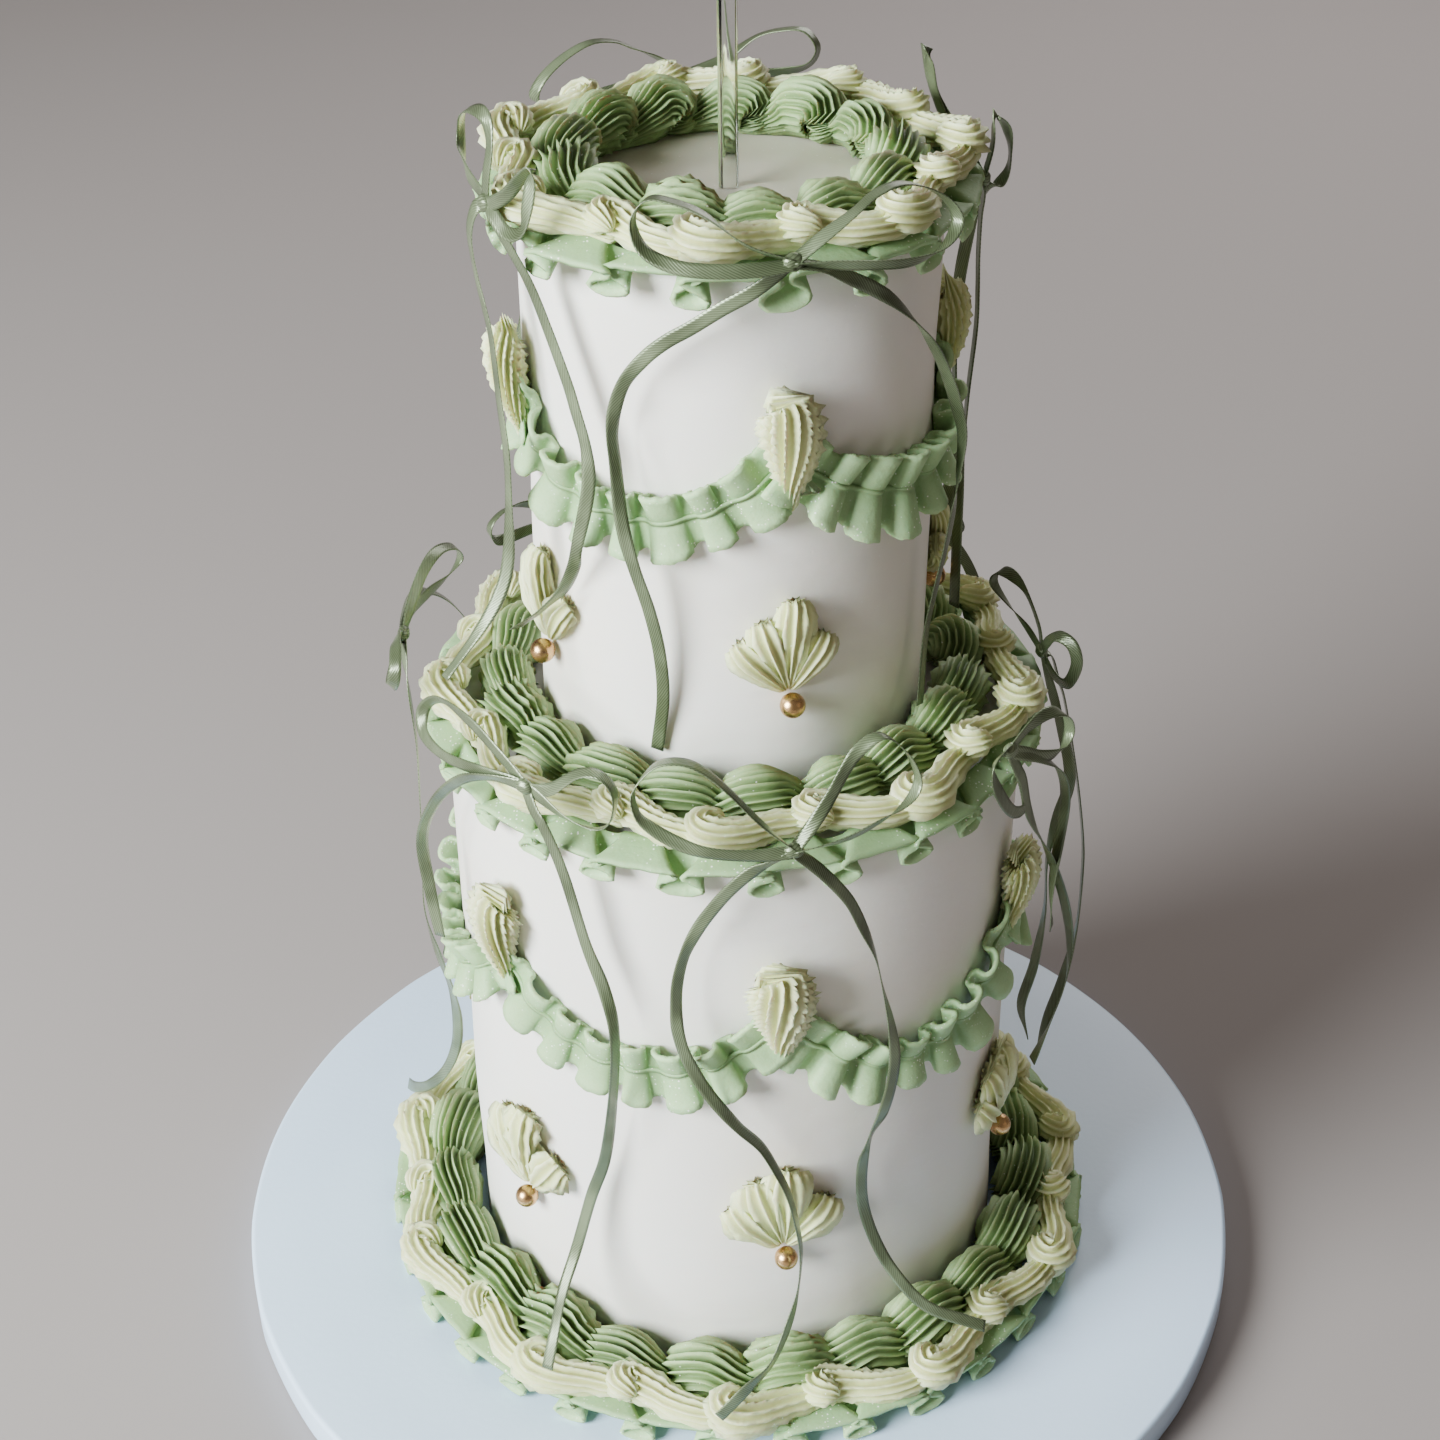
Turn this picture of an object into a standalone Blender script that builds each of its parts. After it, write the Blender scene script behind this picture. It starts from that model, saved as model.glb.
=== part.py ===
"""Two-tier vintage piped celebration cake on its round covered board.

Metres, +Z up, front towards -Y, origin under the middle of the board. An azimuth is in degrees from
the front, positive towards +X. Icing pieces stand GAP clear of each other and of the tiers.
"""

from math import cos, pi, radians, sin

import bmesh
import bpy
from mathutils import Vector

# Board and tiers
GAP = 0.0003
BOARD_RADIUS = 0.1535
BOARD_THICKNESS = 0.012
BOARD_EDGE_ROUND = 0.0015
BOARD_STEPS = 48
LOWER_RADIUS = 0.079
LOWER_TOP = 0.196
UPPER_RADIUS = 0.052
UPPER_TOP = 0.342
TIER_EDGE_ROUND = 0.003
TIER_STEPS = 40

# Green scallop borders: centre radius, count, width and height of one scallop, first head's azimuth
TOP_SCALLOPS = dict(radius=0.0415, count=13, width=0.0185, height=0.0155, start=4.0)
MIDDLE_SCALLOPS = dict(radius=0.0620, count=19, width=0.0190, height=0.0180, start=2.0)
BASE_SCALLOPS = dict(radius=0.0893, count=24, width=0.0200, height=0.0235, start=5.0)
SCALLOP_SIDES = 8
SCALLOP_OUTLINE = ((0.0, 0.60), (0.10, 0.93), (0.40, 1.0), (0.74, 0.82))
HEAD_BULGE = 0.45
HEAD_BLUNTNESS = 1.5
RIDGE_DEPTH = 0.14
BELLY = 0.35

# Cream garlands: centre radius, height above the surface, half sizes, number of curls
TOP_GARLAND = dict(radius=0.0549, lift=0.0090, wide=0.0034, tall=0.0046, curls=14, start=-6.0)
MIDDLE_GARLAND = dict(radius=0.0763, lift=0.0100, wide=0.0037, tall=0.0050, curls=18, start=-3.0)
BASE_GARLAND = dict(radius=0.1038, lift=0.0128, wide=0.0037, tall=0.0050, curls=22, start=-1.0)
GARLAND_SIDES = 5
GARLAND_STEPS_PER_CURL = 3
CURL_SWELL = 0.16
CURL_SWAY = 0.0006

# Green ruffles under the garlands: attached radius and height, outer radius and height
TOP_RUFFLE = dict(inner=0.0528, inner_z=0.0018, outer=0.0610, outer_z=-0.0008, waves=16, start=2.0)
MIDDLE_RUFFLE = dict(inner=0.0798, inner_z=0.0022, outer=0.0862, outer_z=-0.0040, waves=26, start=-2.0)
BASE_RUFFLE = dict(inner=0.0995, inner_z=0.0030, outer=0.1078, outer_z=0.0032, waves=28, start=2.0)
RUFFLE_THICK = 0.0016
RUFFLE_WAVE = 0.0022
RUFFLE_STEPS_PER_WAVE = 3

# Ruffled swags on the walls: height of the seam where two swags meet, drop of the loop
UPPER_SWAG = dict(wall=UPPER_RADIUS, joints=(-73.0, 15.0, 101.0, 192.0), top=0.2945, drop=0.0175)
LOWER_SWAG = dict(
    wall=LOWER_RADIUS, joints=(-111.5, -50.0, 8.5, 69.5, 128.5, 188.5), top=0.1460, drop=0.0205
)
SWAG_RISE = 0.0055
SWAG_FALL = 0.0080
SWAG_FLARE = 0.0046
SWAG_WAVE = 0.0017
SWAG_THICK = 0.0012
SWAG_ROOT = 0.0018
SWAG_WAVE_LENGTH = 0.0105
SWAG_STEPS_PER_WAVE = 2
JOINT_FLAT = 0.0110

# Cream drops over the joints of the swags, and cream fans with a gold pearl below them
DROP_BACK = GAP + SWAG_THICK + GAP
UPPER_DROP = dict(top=0.3165, length=0.0310, width=0.0165, height=0.0095)
LOWER_DROP = dict(top=0.1700, length=0.0345, width=0.0215, height=0.0110)
DROP_SIDES = 10
DROP_RINGS = 5
UPPER_FAN = dict(foot=0.2300, length=0.0265, width=0.0130, height=0.0065)
LOWER_FAN = dict(foot=0.0650, length=0.0325, width=0.0160, height=0.0075)
UPPER_FAN_AZIMUTHS = (-62.0, 15.0, 101.0, 192.0)
LOWER_FAN_AZIMUTHS = (-111.5, -47.0, 9.0, 69.5, 128.5, 188.5)
PETAL_LEANS = (-38.0, 0.0, 40.0)
PETAL_SIDES = 6
PETAL_RINGS = 3
PEARL_RADIUS = 0.0033
PEARL_SIDES = 8
PEARL_RINGS = 4

# Satin ribbon: width, and the thickness that stands for it here
RIBBON_WIDTH = 0.0034
RIBBON_THICK = 0.0007
KNOT_SIZE = (0.0030, 0.0022, 0.0026)

# Acrylic topper: a bare round plaque on a square stick
STICK_WIDTH = 0.0042
STICK_DEPTH = 0.0030
STICK_TURN = 24.0
PLAQUE_RADIUS = 0.030
PLAQUE_CENTRE_Z = 0.428
PLAQUE_STEPS = 24

# Ribbon routes from the knot: millimetres along the wall, up, and out from the wall
TOP_FRONT_LOOPS = (
    ((-17, 9, 8), (-33, 10, 8), (-36, 5, 11), (-22, -1, 13)),
    ((17, 8, 9), (36, 8, 9), (41, -1, 12), (22, -3, 13)),
)
TOP_FRONT_TAILS = (
    ((-20, -16, 10), (-35, -34, 10), (-38, -58, 11), (-32, -93, 4), (-32, -135, 3)),
    ((22, -15, 10), (44, -40, 10), (50, -66, 11), (47, -107, 4), (40, -126, 9)),
)
TOP_SIDE_LOOPS = (
    ((-6, 14, 14), (-7, 30, 16), (2, 29, 14), (4, 12, 13)),
    ((14, -7, 15), (29, 0, 19), (26, 9, 17), (12, 5, 14)),
)
TOP_SIDE_TAILS = (
    ((-15, -20, 17), (-9, -66, 14), (-17, -104, 16), (-24, -122, 19)),
    ((9, -22, 10), (22, -62, 11), (12, -100, 7), (-3, -117, 9)),
)
MIDDLE_FRONT_LOOPS = (
    ((-15, 12, 8), (-31, 16, 6), (-38, 10, 8), (-22, 1, 12)),
    ((12, 14, 10), (25, 21, 8), (32, 11, 10), (16, 2, 13)),
)
MIDDLE_FRONT_TAILS = (
    ((-17, -19, 9), (-28, -48, 9), (-18, -84, 10), (1, -120, 10), (1, -150, 18), (-19, -173, 30)),
    ((17, -23, 9), (28, -68, 10), (24, -114, 5), (33, -151, 13), (55, -172, 27)),
)
MIDDLE_SIDE_LOOPS = (
    ((-14, 11, 9), (-35, 10, 10), (-42, -4, 14), (-19, -2, 13)),
    ((11, 10, 10), (24, 8, 11), (23, -2, 13), (9, -3, 13)),
)
MIDDLE_SIDE_TAILS = (
    ((8, -36, 15), (17, -84, 13), (9, -132, 8), (-12, -175, 30)),
    ((-16, -5, 14), (-38, -18, 18), (-43, -50, 13)),
)
TOP_KNOTS = (
    ("bow_top_front", 12.4, TOP_FRONT_LOOPS, TOP_FRONT_TAILS, 1),
    ("bow_top_left", -65.0, TOP_SIDE_LOOPS, TOP_SIDE_TAILS, 1),
    ("bow_top_right", 98.0, TOP_SIDE_LOOPS, TOP_SIDE_TAILS, -1),
    ("bow_top_back", 190.0, TOP_FRONT_LOOPS, TOP_FRONT_TAILS, 1),
)
MIDDLE_KNOTS = (
    ("bow_middle_front", 9.0, MIDDLE_FRONT_LOOPS, MIDDLE_FRONT_TAILS, 1),
    ("bow_middle_front_left", -40.0, MIDDLE_SIDE_LOOPS, MIDDLE_SIDE_TAILS, 1),
    ("bow_middle_front_right", 58.0, MIDDLE_SIDE_LOOPS, MIDDLE_SIDE_TAILS, 1),
    ("bow_middle_right", 108.0, MIDDLE_SIDE_LOOPS, MIDDLE_SIDE_TAILS, 1),
    ("bow_middle_back_right", 159.0, MIDDLE_SIDE_LOOPS, MIDDLE_SIDE_TAILS, 1),
    ("bow_middle_back_left", 211.0, MIDDLE_SIDE_LOOPS, MIDDLE_SIDE_TAILS, 1),
    ("bow_middle_left", 264.0, MIDDLE_SIDE_LOOPS, MIDDLE_SIDE_TAILS, 1),
)
TOP_KNOT_RADIUS = 0.0665
TOP_KNOT_Z = 0.3475
MIDDLE_KNOT_RADIUS = 0.0925
MIDDLE_KNOT_Z = 0.2050

GREEN = (0.42, 0.55, 0.34)
CREAM = (0.86, 0.82, 0.58)
IVORY = (0.88, 0.84, 0.78)
WHITE = (0.86, 0.87, 0.90)
SAGE = (0.25, 0.30, 0.19)
GOLD = (0.72, 0.42, 0.16)
CLEAR = (0.80, 0.82, 0.80)


def clear_scene():
    for obj in list(bpy.data.objects):
        bpy.data.objects.remove(obj, do_unlink=True)


def material(name, colour, roughness, metallic=0.0):
    """A Principled material of that name, made once."""
    found = bpy.data.materials.get(name)
    if found:
        return found
    made = bpy.data.materials.new(name)
    made.use_nodes = True
    shader = made.node_tree.nodes["Principled BSDF"]
    shader.inputs["Base Color"].default_value = (*colour, 1)
    shader.inputs["Roughness"].default_value = roughness
    shader.inputs["Metallic"].default_value = metallic
    return made


def polar(radius, azimuth, z):
    """The point at that radius, azimuth in degrees and height."""
    turn = radians(azimuth)
    return Vector((radius * sin(turn), -radius * cos(turn), z))


def degrees_along(distance, radius):
    return distance / radius * 180 / pi


def add_object(name, bm, collection, finish):
    """An object from a bmesh, with outward faces, in a collection."""
    bmesh.ops.recalc_face_normals(bm, faces=bm.faces)
    if bm.calc_volume(signed=True) < 0:
        bmesh.ops.reverse_faces(bm, faces=bm.faces)
    mesh = bpy.data.meshes.new(name)
    bm.to_mesh(mesh)
    bm.free()
    mesh.materials.append(finish)
    mesh.shade_smooth()
    mesh.set_sharp_from_angle(angle=radians(40))
    obj = bpy.data.objects.new(name, mesh)
    collection.objects.link(obj)
    return obj


def apply_modifiers(obj):
    """Replaces an object's mesh by what its modifiers make of it."""
    graph = bpy.context.evaluated_depsgraph_get()
    mesh = bpy.data.meshes.new_from_object(obj.evaluated_get(graph))
    obj.modifiers.clear()
    obj.data = mesh


def fuse(name, pieces, collection, solver="EXACT"):
    """Joins closed pieces into the first one by one Boolean union, and removes the others."""
    body, others = pieces[0], pieces[1:]
    group = bpy.data.collections.new(name + "_pieces")
    bpy.context.scene.collection.children.link(group)
    for other in others:
        collection.objects.unlink(other)
        group.objects.link(other)
    join = body.modifiers.new("join", "BOOLEAN")
    join.operation = "UNION"
    join.operand_type = "COLLECTION"
    join.collection = group
    join.solver = solver
    apply_modifiers(body)
    for other in others:
        bpy.data.objects.remove(other, do_unlink=True)
    bpy.data.collections.remove(group)
    body.name = name
    return body


def turned(name, profile, steps, collection, finish):
    """A solid of revolution from (radius, z) points that run from the top to the bottom."""
    bm = bmesh.new()
    points = [bm.verts.new((radius, 0, z)) for radius, z in profile]
    for upper, lower in zip(points, points[1:]):
        bm.edges.new((upper, lower))
    mesh = bpy.data.meshes.new(name)
    bm.to_mesh(mesh)
    bm.free()
    mesh.materials.append(finish)
    obj = bpy.data.objects.new(name, mesh)
    collection.objects.link(obj)
    screw = obj.modifiers.new("turn", "SCREW")
    screw.axis = "Z"
    screw.steps = screw.render_steps = steps
    screw.use_merge_vertices = True
    screw.merge_threshold = 0.00001
    screw.use_smooth_shade = True
    return obj


def rounded_disc(radius, bottom, top, edge):
    """Profile of a disc with a small bevel at its top and bottom edges."""
    return (
        (0, top),
        (radius - edge, top),
        (radius, top - edge),
        (radius, bottom + edge),
        (radius - edge, bottom),
        (0, bottom),
    )


def drop_point(point, length, width, height, ridges):
    """Maps a point of the unit sphere, head at +Z, to (along, across, up) of a piped scallop."""
    ring = Vector((point.x, point.y)).length
    side = Vector((point.x, point.y)).normalized() if ring > 1e-6 else Vector((0, 0))
    swell = ring * (1 + HEAD_BULGE * point.z) / 1.1
    along = ((1 - point.z) / 2) ** HEAD_BLUNTNESS * length
    angle = side.angle_signed(Vector((1, 0))) if ring > 1e-6 else 0
    groove = 1 - RIDGE_DEPTH * (0.5 - 0.5 * cos(ridges * angle))
    across = width / 2 * swell * side.x * groove
    middle = BELLY * height
    reach = height - middle if side.y > 0 else middle
    up = swell * (middle + reach * side.y * (groove if side.y > 0 else 1))
    return along, across, max(up, 0)


def sphere_bmesh(sides, rings):
    bm = bmesh.new()
    bmesh.ops.create_uvsphere(bm, u_segments=sides, v_segments=rings, radius=1)
    return bm


def ring_bmesh(steps, sides):
    """A torus of unit radius as (azimuth, section angle) on its vertices, to be moved to a shape."""
    bpy.ops.mesh.primitive_torus_add(
        major_segments=steps, minor_segments=sides, major_radius=1, minor_radius=0.25
    )
    made = bpy.context.object
    bm = bmesh.new()
    bm.from_mesh(made.data)
    mesh = made.data
    bpy.data.objects.remove(made, do_unlink=True)
    bpy.data.meshes.remove(mesh)
    places = []
    for vert in bm.verts:
        flat = Vector((vert.co.x, vert.co.y))
        azimuth = flat.angle_signed(Vector((0, -1))) * 180 / pi
        section = Vector((flat.length - 1, vert.co.z)).angle_signed(Vector((1, 0)))
        places.append((vert, azimuth, section))
    return bm, places


def scallop_border(name, spec, surface_z, collection, finish):
    """A ring of scallops, each one's thin tail tucked under the next one's round head."""
    steps = spec["count"] * len(SCALLOP_OUTLINE)
    bm, places = ring_bmesh(steps, SCALLOP_SIDES)
    for vert, azimuth, section in places:
        index, part = divmod(round(azimuth / 360 * steps) % steps, len(SCALLOP_OUTLINE))
        share, swell = SCALLOP_OUTLINE[part]
        uneven = 1 + 0.05 * sin(2.4 * index + spec["count"])
        ridge = 1 - RIDGE_DEPTH * (0.5 - 0.5 * cos(section * SCALLOP_SIDES / 2))
        across = spec["width"] / 2 * swell * cos(section) * ridge
        middle = BELLY * spec["height"] * swell
        reach = (spec["height"] * uneven * swell - middle) * ridge if sin(section) > 0 else middle
        turn = spec["start"] + (index + share) * 360 / spec["count"]
        height = surface_z + GAP + middle + reach * sin(section)
        vert.co = polar(spec["radius"] + across, turn, height)
    return add_object(name, bm, collection, finish)


def garland(name, spec, surface_z, collection, finish):
    """A rope of cream curls that sway in and out along the ring."""
    bm, places = ring_bmesh(spec["curls"] * GARLAND_STEPS_PER_CURL, GARLAND_SIDES)
    for vert, azimuth, section in places:
        phase = (azimuth - spec["start"]) / 360 * spec["curls"]
        swell = 1 + CURL_SWELL * cos(2 * pi * phase)
        sway = CURL_SWAY * cos(pi * phase)
        twist = section + 0.5 * sin(2 * pi * phase)
        radius = spec["radius"] + sway + spec["wide"] * swell * cos(twist)
        z = surface_z + spec["lift"] + spec["tall"] * swell * sin(twist)
        vert.co = polar(radius, azimuth, z)
    return add_object(name, bm, collection, finish)


def ruffle(name, spec, surface_z, collection, finish):
    """A frill that runs round under a garland, its outer edge waved up and down."""
    bm, places = ring_bmesh(spec["waves"] * RUFFLE_STEPS_PER_WAVE, 4)
    for vert, azimuth, section in places:
        outer = cos(section + pi / 4) > 0
        upper = sin(section + pi / 4) > 0
        phase = 2 * pi * (azimuth - spec["start"]) / 360 * spec["waves"]
        radius = spec["outer"] if outer else spec["inner"]
        z = spec["outer_z"] if outer else spec["inner_z"]
        if outer:
            z += RUFFLE_WAVE * cos(phase)
            radius += 0.4 * RUFFLE_WAVE * sin(phase)
        z += RUFFLE_THICK / 2 if upper else -RUFFLE_THICK / 2
        vert.co = polar(radius, azimuth, surface_z + z)
    return add_object(name, bm, collection, finish)


def swag_height(azimuth, spec):
    """Seam height at an azimuth, and the distance along the wall to the nearest joint."""
    joints = sorted(joint % 360 for joint in spec["joints"])
    here = azimuth % 360
    after = min((j for j in joints if j > here), default=joints[0] + 360)
    before = max((j for j in joints if j <= here), default=joints[-1] - 360)
    share = (here - before) / (after - before)
    nearest = min(here - before, after - here)
    z = spec["top"] - spec["drop"] * (1 - abs(2 * share - 1) ** 2.2)
    return z, radians(nearest) * spec["wall"]


def swag_ring(name, spec, collection, finish):
    """Ruffled swags that meet end to end round a tier, flat on the wall at their joints."""
    waves = round(2 * pi * spec["wall"] / SWAG_WAVE_LENGTH)
    bm, places = ring_bmesh(waves * SWAG_STEPS_PER_WAVE, 4)
    for vert, azimuth, section in places:
        outer = cos(section + pi / 4) > 0
        upper = sin(section + pi / 4) > 0
        seam, clear_of_joint = swag_height(azimuth, spec)
        fullness = min(1, max(0, (clear_of_joint - JOINT_FLAT) / 0.004))
        phase = 2 * pi * azimuth / 360 * waves
        out = GAP
        up = SWAG_ROOT if upper else -SWAG_ROOT
        if outer:
            flare = SWAG_FLARE + SWAG_WAVE * cos(phase) - SWAG_THICK
            out += SWAG_THICK + fullness * flare
            up = SWAG_RISE if upper else -SWAG_FALL
            up *= 0.6 + 0.4 * fullness
        vert.co = polar(spec["wall"] + out, azimuth, seam + up)
    return add_object(name, bm, collection, finish)


def on_wall(wall, azimuth, along_wall, z, out):
    return polar(wall + out, azimuth + degrees_along(along_wall, wall), z)


def drop(name, spec, wall, azimuth, collection, finish):
    """A ridged scallop piped down the wall, its tail pointing down."""
    bm = sphere_bmesh(DROP_SIDES, DROP_RINGS)
    for vert in bm.verts:
        along, across, up = drop_point(
            vert.co, spec["length"], spec["width"], spec["height"], DROP_SIDES / 2
        )
        vert.co = on_wall(wall, azimuth, across, spec["top"] - along, DROP_BACK + up)
    return add_object(name, bm, collection, finish)


def fan(name, spec, wall, azimuth, collection, finish):
    """Three small scallops whose tails meet at the foot, like an open fan."""
    petals = []
    for number, lean in enumerate(PETAL_LEANS):
        bm = sphere_bmesh(PETAL_SIDES, PETAL_RINGS)
        size = 1.0 if lean == 0 else 0.8
        turn = radians(lean)
        for vert in bm.verts:
            along, across, up = drop_point(
                vert.co, spec["length"] * size, spec["width"], spec["height"] * size, PETAL_SIDES / 2
            )
            reach = spec["length"] * size - along
            side = reach * sin(turn) + across * cos(turn)
            rise = reach * cos(turn) - across * sin(turn)
            vert.co = on_wall(wall, azimuth, side, spec["foot"] + 0.0012 + rise, GAP + up)
        petals.append(add_object(f"{name}_{number}", bm, collection, finish))
    return fuse(name, petals, collection)


def pearl(name, spec, wall, azimuth, collection, finish):
    """A round pearl pressed on just below the foot of a fan."""
    bm = sphere_bmesh(PEARL_SIDES, PEARL_RINGS)
    z = spec["foot"] - PEARL_RADIUS - GAP
    centre = polar(wall + GAP + PEARL_RADIUS, azimuth, z)
    for vert in bm.verts:
        vert.co = centre + vert.co * PEARL_RADIUS
    return add_object(name, bm, collection, finish)


def ribbon_strip(name, path, on_edge, collection, finish):
    """A ribbon along a path, lying flat to the wall or standing on its edge."""
    bm = bmesh.new()
    bmesh.ops.create_grid(bm, x_segments=len(path) - 1, y_segments=1, size=1)
    last = len(path) - 1
    for vert in bm.verts:
        index = round((vert.co.x + 1) / 2 * last)
        here = path[index]
        along = (path[min(index + 1, last)] - path[max(index - 1, 0)]).normalized()
        out = Vector((here.x, here.y, 0)).normalized()
        side = (out - along * out.dot(along) if on_edge else along.cross(out)).normalized()
        vert.co = here + side * (RIBBON_WIDTH / 2 if vert.co.y > 0 else -RIBBON_WIDTH / 2)
    strip = add_object(name, bm, collection, finish)
    wall = strip.modifiers.new("thickness", "SOLIDIFY")
    wall.thickness = RIBBON_THICK
    wall.offset = 0
    apply_modifiers(strip)
    return strip


def bow(name, knot, wall, azimuth, loops, tails, flip, collection, finish):
    """A ribbon bow: two loops and two tails from one knot, as one body."""
    radius, z = knot

    def place_near(along, up, out):
        turn = azimuth + degrees_along(along / 1000, radius)
        return polar(radius + out / 1000, turn, z + up / 1000)

    def place(offset):
        along, up, out = offset
        return on_wall(wall, azimuth, flip * along / 1000, z + up / 1000, out / 1000)

    centre = bmesh.new()
    bmesh.ops.create_icosphere(centre, subdivisions=1, radius=1)
    for vert in centre.verts:
        across, deep, tall = (vert.co.x * KNOT_SIZE[0], vert.co.y * KNOT_SIZE[1], vert.co.z * KNOT_SIZE[2])
        vert.co = polar(radius + deep, azimuth + degrees_along(across, radius), z + tall)
    pieces = [add_object(name, centre, collection, finish)]
    for number, route in enumerate(loops):
        side = flip if number else -flip
        ends = [place_near(side * 1.1, shift, side * 0.3) for shift in (1.1, -0.5)]
        points = [ends[0], *(place(offset) for offset in route), ends[1]]
        pieces.append(ribbon_strip(f"{name}_loop_{number}", points, True, collection, finish))
    for number, route in enumerate(tails):
        side = flip if number else -flip
        points = [place_near(side * 0.7, -1.3, side * 0.4), *(place(offset) for offset in route)]
        pieces.append(ribbon_strip(f"{name}_tail_{number}", points, False, collection, finish))
    return fuse(name, pieces, collection, "MANIFOLD")


def topper(collection, finish):
    """A clear stick that stands in the icing and carries a bare round plaque."""
    foot = UPPER_TOP + GAP
    bm = bmesh.new()
    made = bmesh.ops.create_cube(bm, size=1)
    top = PLAQUE_CENTRE_Z - PLAQUE_RADIUS + 0.004
    for vert in made["verts"]:
        x, y, z = vert.co
        vert.co = (x * STICK_WIDTH, y * STICK_DEPTH, foot + (z + 0.5) * (top - foot))
    stick = add_object("topper", bm, collection, finish)
    bm = bmesh.new()
    bmesh.ops.create_cone(
        bm, cap_ends=True, segments=PLAQUE_STEPS, radius1=PLAQUE_RADIUS, radius2=PLAQUE_RADIUS,
        depth=STICK_DEPTH * 0.98,
    )
    for vert in bm.verts:
        x, y, z = vert.co
        vert.co = (x, -z, y + PLAQUE_CENTRE_Z)
    plaque = add_object("topper_plaque", bm, collection, finish)
    body = fuse("topper", [stick, plaque], collection)
    body.rotation_euler = (0, 0, radians(STICK_TURN))
    return body


def build():
    clear_scene()
    cake = bpy.data.collections.new("tiered_cake")
    bpy.context.scene.collection.children.link(cake)
    green = material("green_buttercream", GREEN, 0.55)
    cream = material("cream_buttercream", CREAM, 0.55)
    ivory = material("ivory_buttercream", IVORY, 0.5)
    satin = material("sage_satin", SAGE, 0.35)
    gold = material("gold_pearl", GOLD, 0.25, 1.0)
    board_top = BOARD_THICKNESS

    turned("cake_board", rounded_disc(BOARD_RADIUS, 0, board_top, BOARD_EDGE_ROUND),
           BOARD_STEPS, cake, material("board_covering", WHITE, 0.35))
    turned("lower_tier", rounded_disc(LOWER_RADIUS, board_top + GAP, LOWER_TOP, TIER_EDGE_ROUND),
           TIER_STEPS, cake, ivory)
    turned("upper_tier", rounded_disc(UPPER_RADIUS, LOWER_TOP + GAP, UPPER_TOP, TIER_EDGE_ROUND),
           TIER_STEPS, cake, ivory)

    scallop_border("scallop_border_top", TOP_SCALLOPS, UPPER_TOP, cake, green)
    scallop_border("scallop_border_middle", MIDDLE_SCALLOPS, LOWER_TOP, cake, green)
    scallop_border("scallop_border_base", BASE_SCALLOPS, board_top, cake, green)
    garland("garland_top", TOP_GARLAND, UPPER_TOP, cake, cream)
    garland("garland_middle", MIDDLE_GARLAND, LOWER_TOP, cake, cream)
    garland("garland_base", BASE_GARLAND, board_top, cake, cream)
    ruffle("ruffle_top", TOP_RUFFLE, UPPER_TOP, cake, green)
    ruffle("ruffle_middle", MIDDLE_RUFFLE, LOWER_TOP, cake, green)
    ruffle("ruffle_base", BASE_RUFFLE, board_top, cake, green)
    swag_ring("swag_upper", UPPER_SWAG, cake, green)
    swag_ring("swag_lower", LOWER_SWAG, cake, green)

    for number, azimuth in enumerate(UPPER_SWAG["joints"]):
        drop(f"drop_upper_{number}", UPPER_DROP, UPPER_RADIUS, azimuth, cake, cream)
    for number, azimuth in enumerate(LOWER_SWAG["joints"]):
        drop(f"drop_lower_{number}", LOWER_DROP, LOWER_RADIUS, azimuth, cake, cream)
    for number, azimuth in enumerate(UPPER_FAN_AZIMUTHS):
        fan(f"fan_upper_{number}", UPPER_FAN, UPPER_RADIUS, azimuth, cake, cream)
        pearl(f"pearl_upper_{number}", UPPER_FAN, UPPER_RADIUS, azimuth, cake, gold)
    for number, azimuth in enumerate(LOWER_FAN_AZIMUTHS):
        fan(f"fan_lower_{number}", LOWER_FAN, LOWER_RADIUS, azimuth, cake, cream)
        pearl(f"pearl_lower_{number}", LOWER_FAN, LOWER_RADIUS, azimuth, cake, gold)

    for name, azimuth, loops, tails, flip in TOP_KNOTS:
        bow(name, (TOP_KNOT_RADIUS, TOP_KNOT_Z), UPPER_RADIUS, azimuth, loops, tails, flip, cake, satin)
    for name, azimuth, loops, tails, flip in MIDDLE_KNOTS:
        bow(name, (MIDDLE_KNOT_RADIUS, MIDDLE_KNOT_Z), LOWER_RADIUS, azimuth, loops, tails, flip, cake,
            satin)
    topper(cake, material("clear_acrylic", CLEAR, 0.1))


build()
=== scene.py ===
"""Looks of a two-tier vintage piped celebration cake on its round covered board.

Metres, +Z up, front towards -Y. An azimuth is in degrees from the front, positive towards +X. Piped
pieces are first shaped in local coordinates (along the ring, outward, up) and then wrapped round
the axis of the cake.
"""

import logging
import math
from collections.abc import Callable, Sequence
from dataclasses import dataclass, field
from enum import Enum

import bmesh
import bpy
import numpy as np
from mathutils import Matrix, Vector

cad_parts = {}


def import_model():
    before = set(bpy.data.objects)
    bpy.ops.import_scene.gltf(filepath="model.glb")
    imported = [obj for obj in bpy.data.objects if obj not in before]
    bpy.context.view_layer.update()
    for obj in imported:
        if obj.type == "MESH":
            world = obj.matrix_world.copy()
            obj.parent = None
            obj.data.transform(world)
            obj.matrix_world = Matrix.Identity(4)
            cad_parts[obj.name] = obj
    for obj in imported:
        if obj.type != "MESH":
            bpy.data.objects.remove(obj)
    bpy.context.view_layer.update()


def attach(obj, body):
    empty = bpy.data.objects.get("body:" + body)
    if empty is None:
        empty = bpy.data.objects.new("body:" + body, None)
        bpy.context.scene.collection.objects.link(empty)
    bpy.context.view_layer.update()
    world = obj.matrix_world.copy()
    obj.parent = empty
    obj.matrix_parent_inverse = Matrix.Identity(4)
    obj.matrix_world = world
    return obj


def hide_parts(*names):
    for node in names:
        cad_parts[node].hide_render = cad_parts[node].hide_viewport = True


log = logging.getLogger("tiered_cake")
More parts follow.
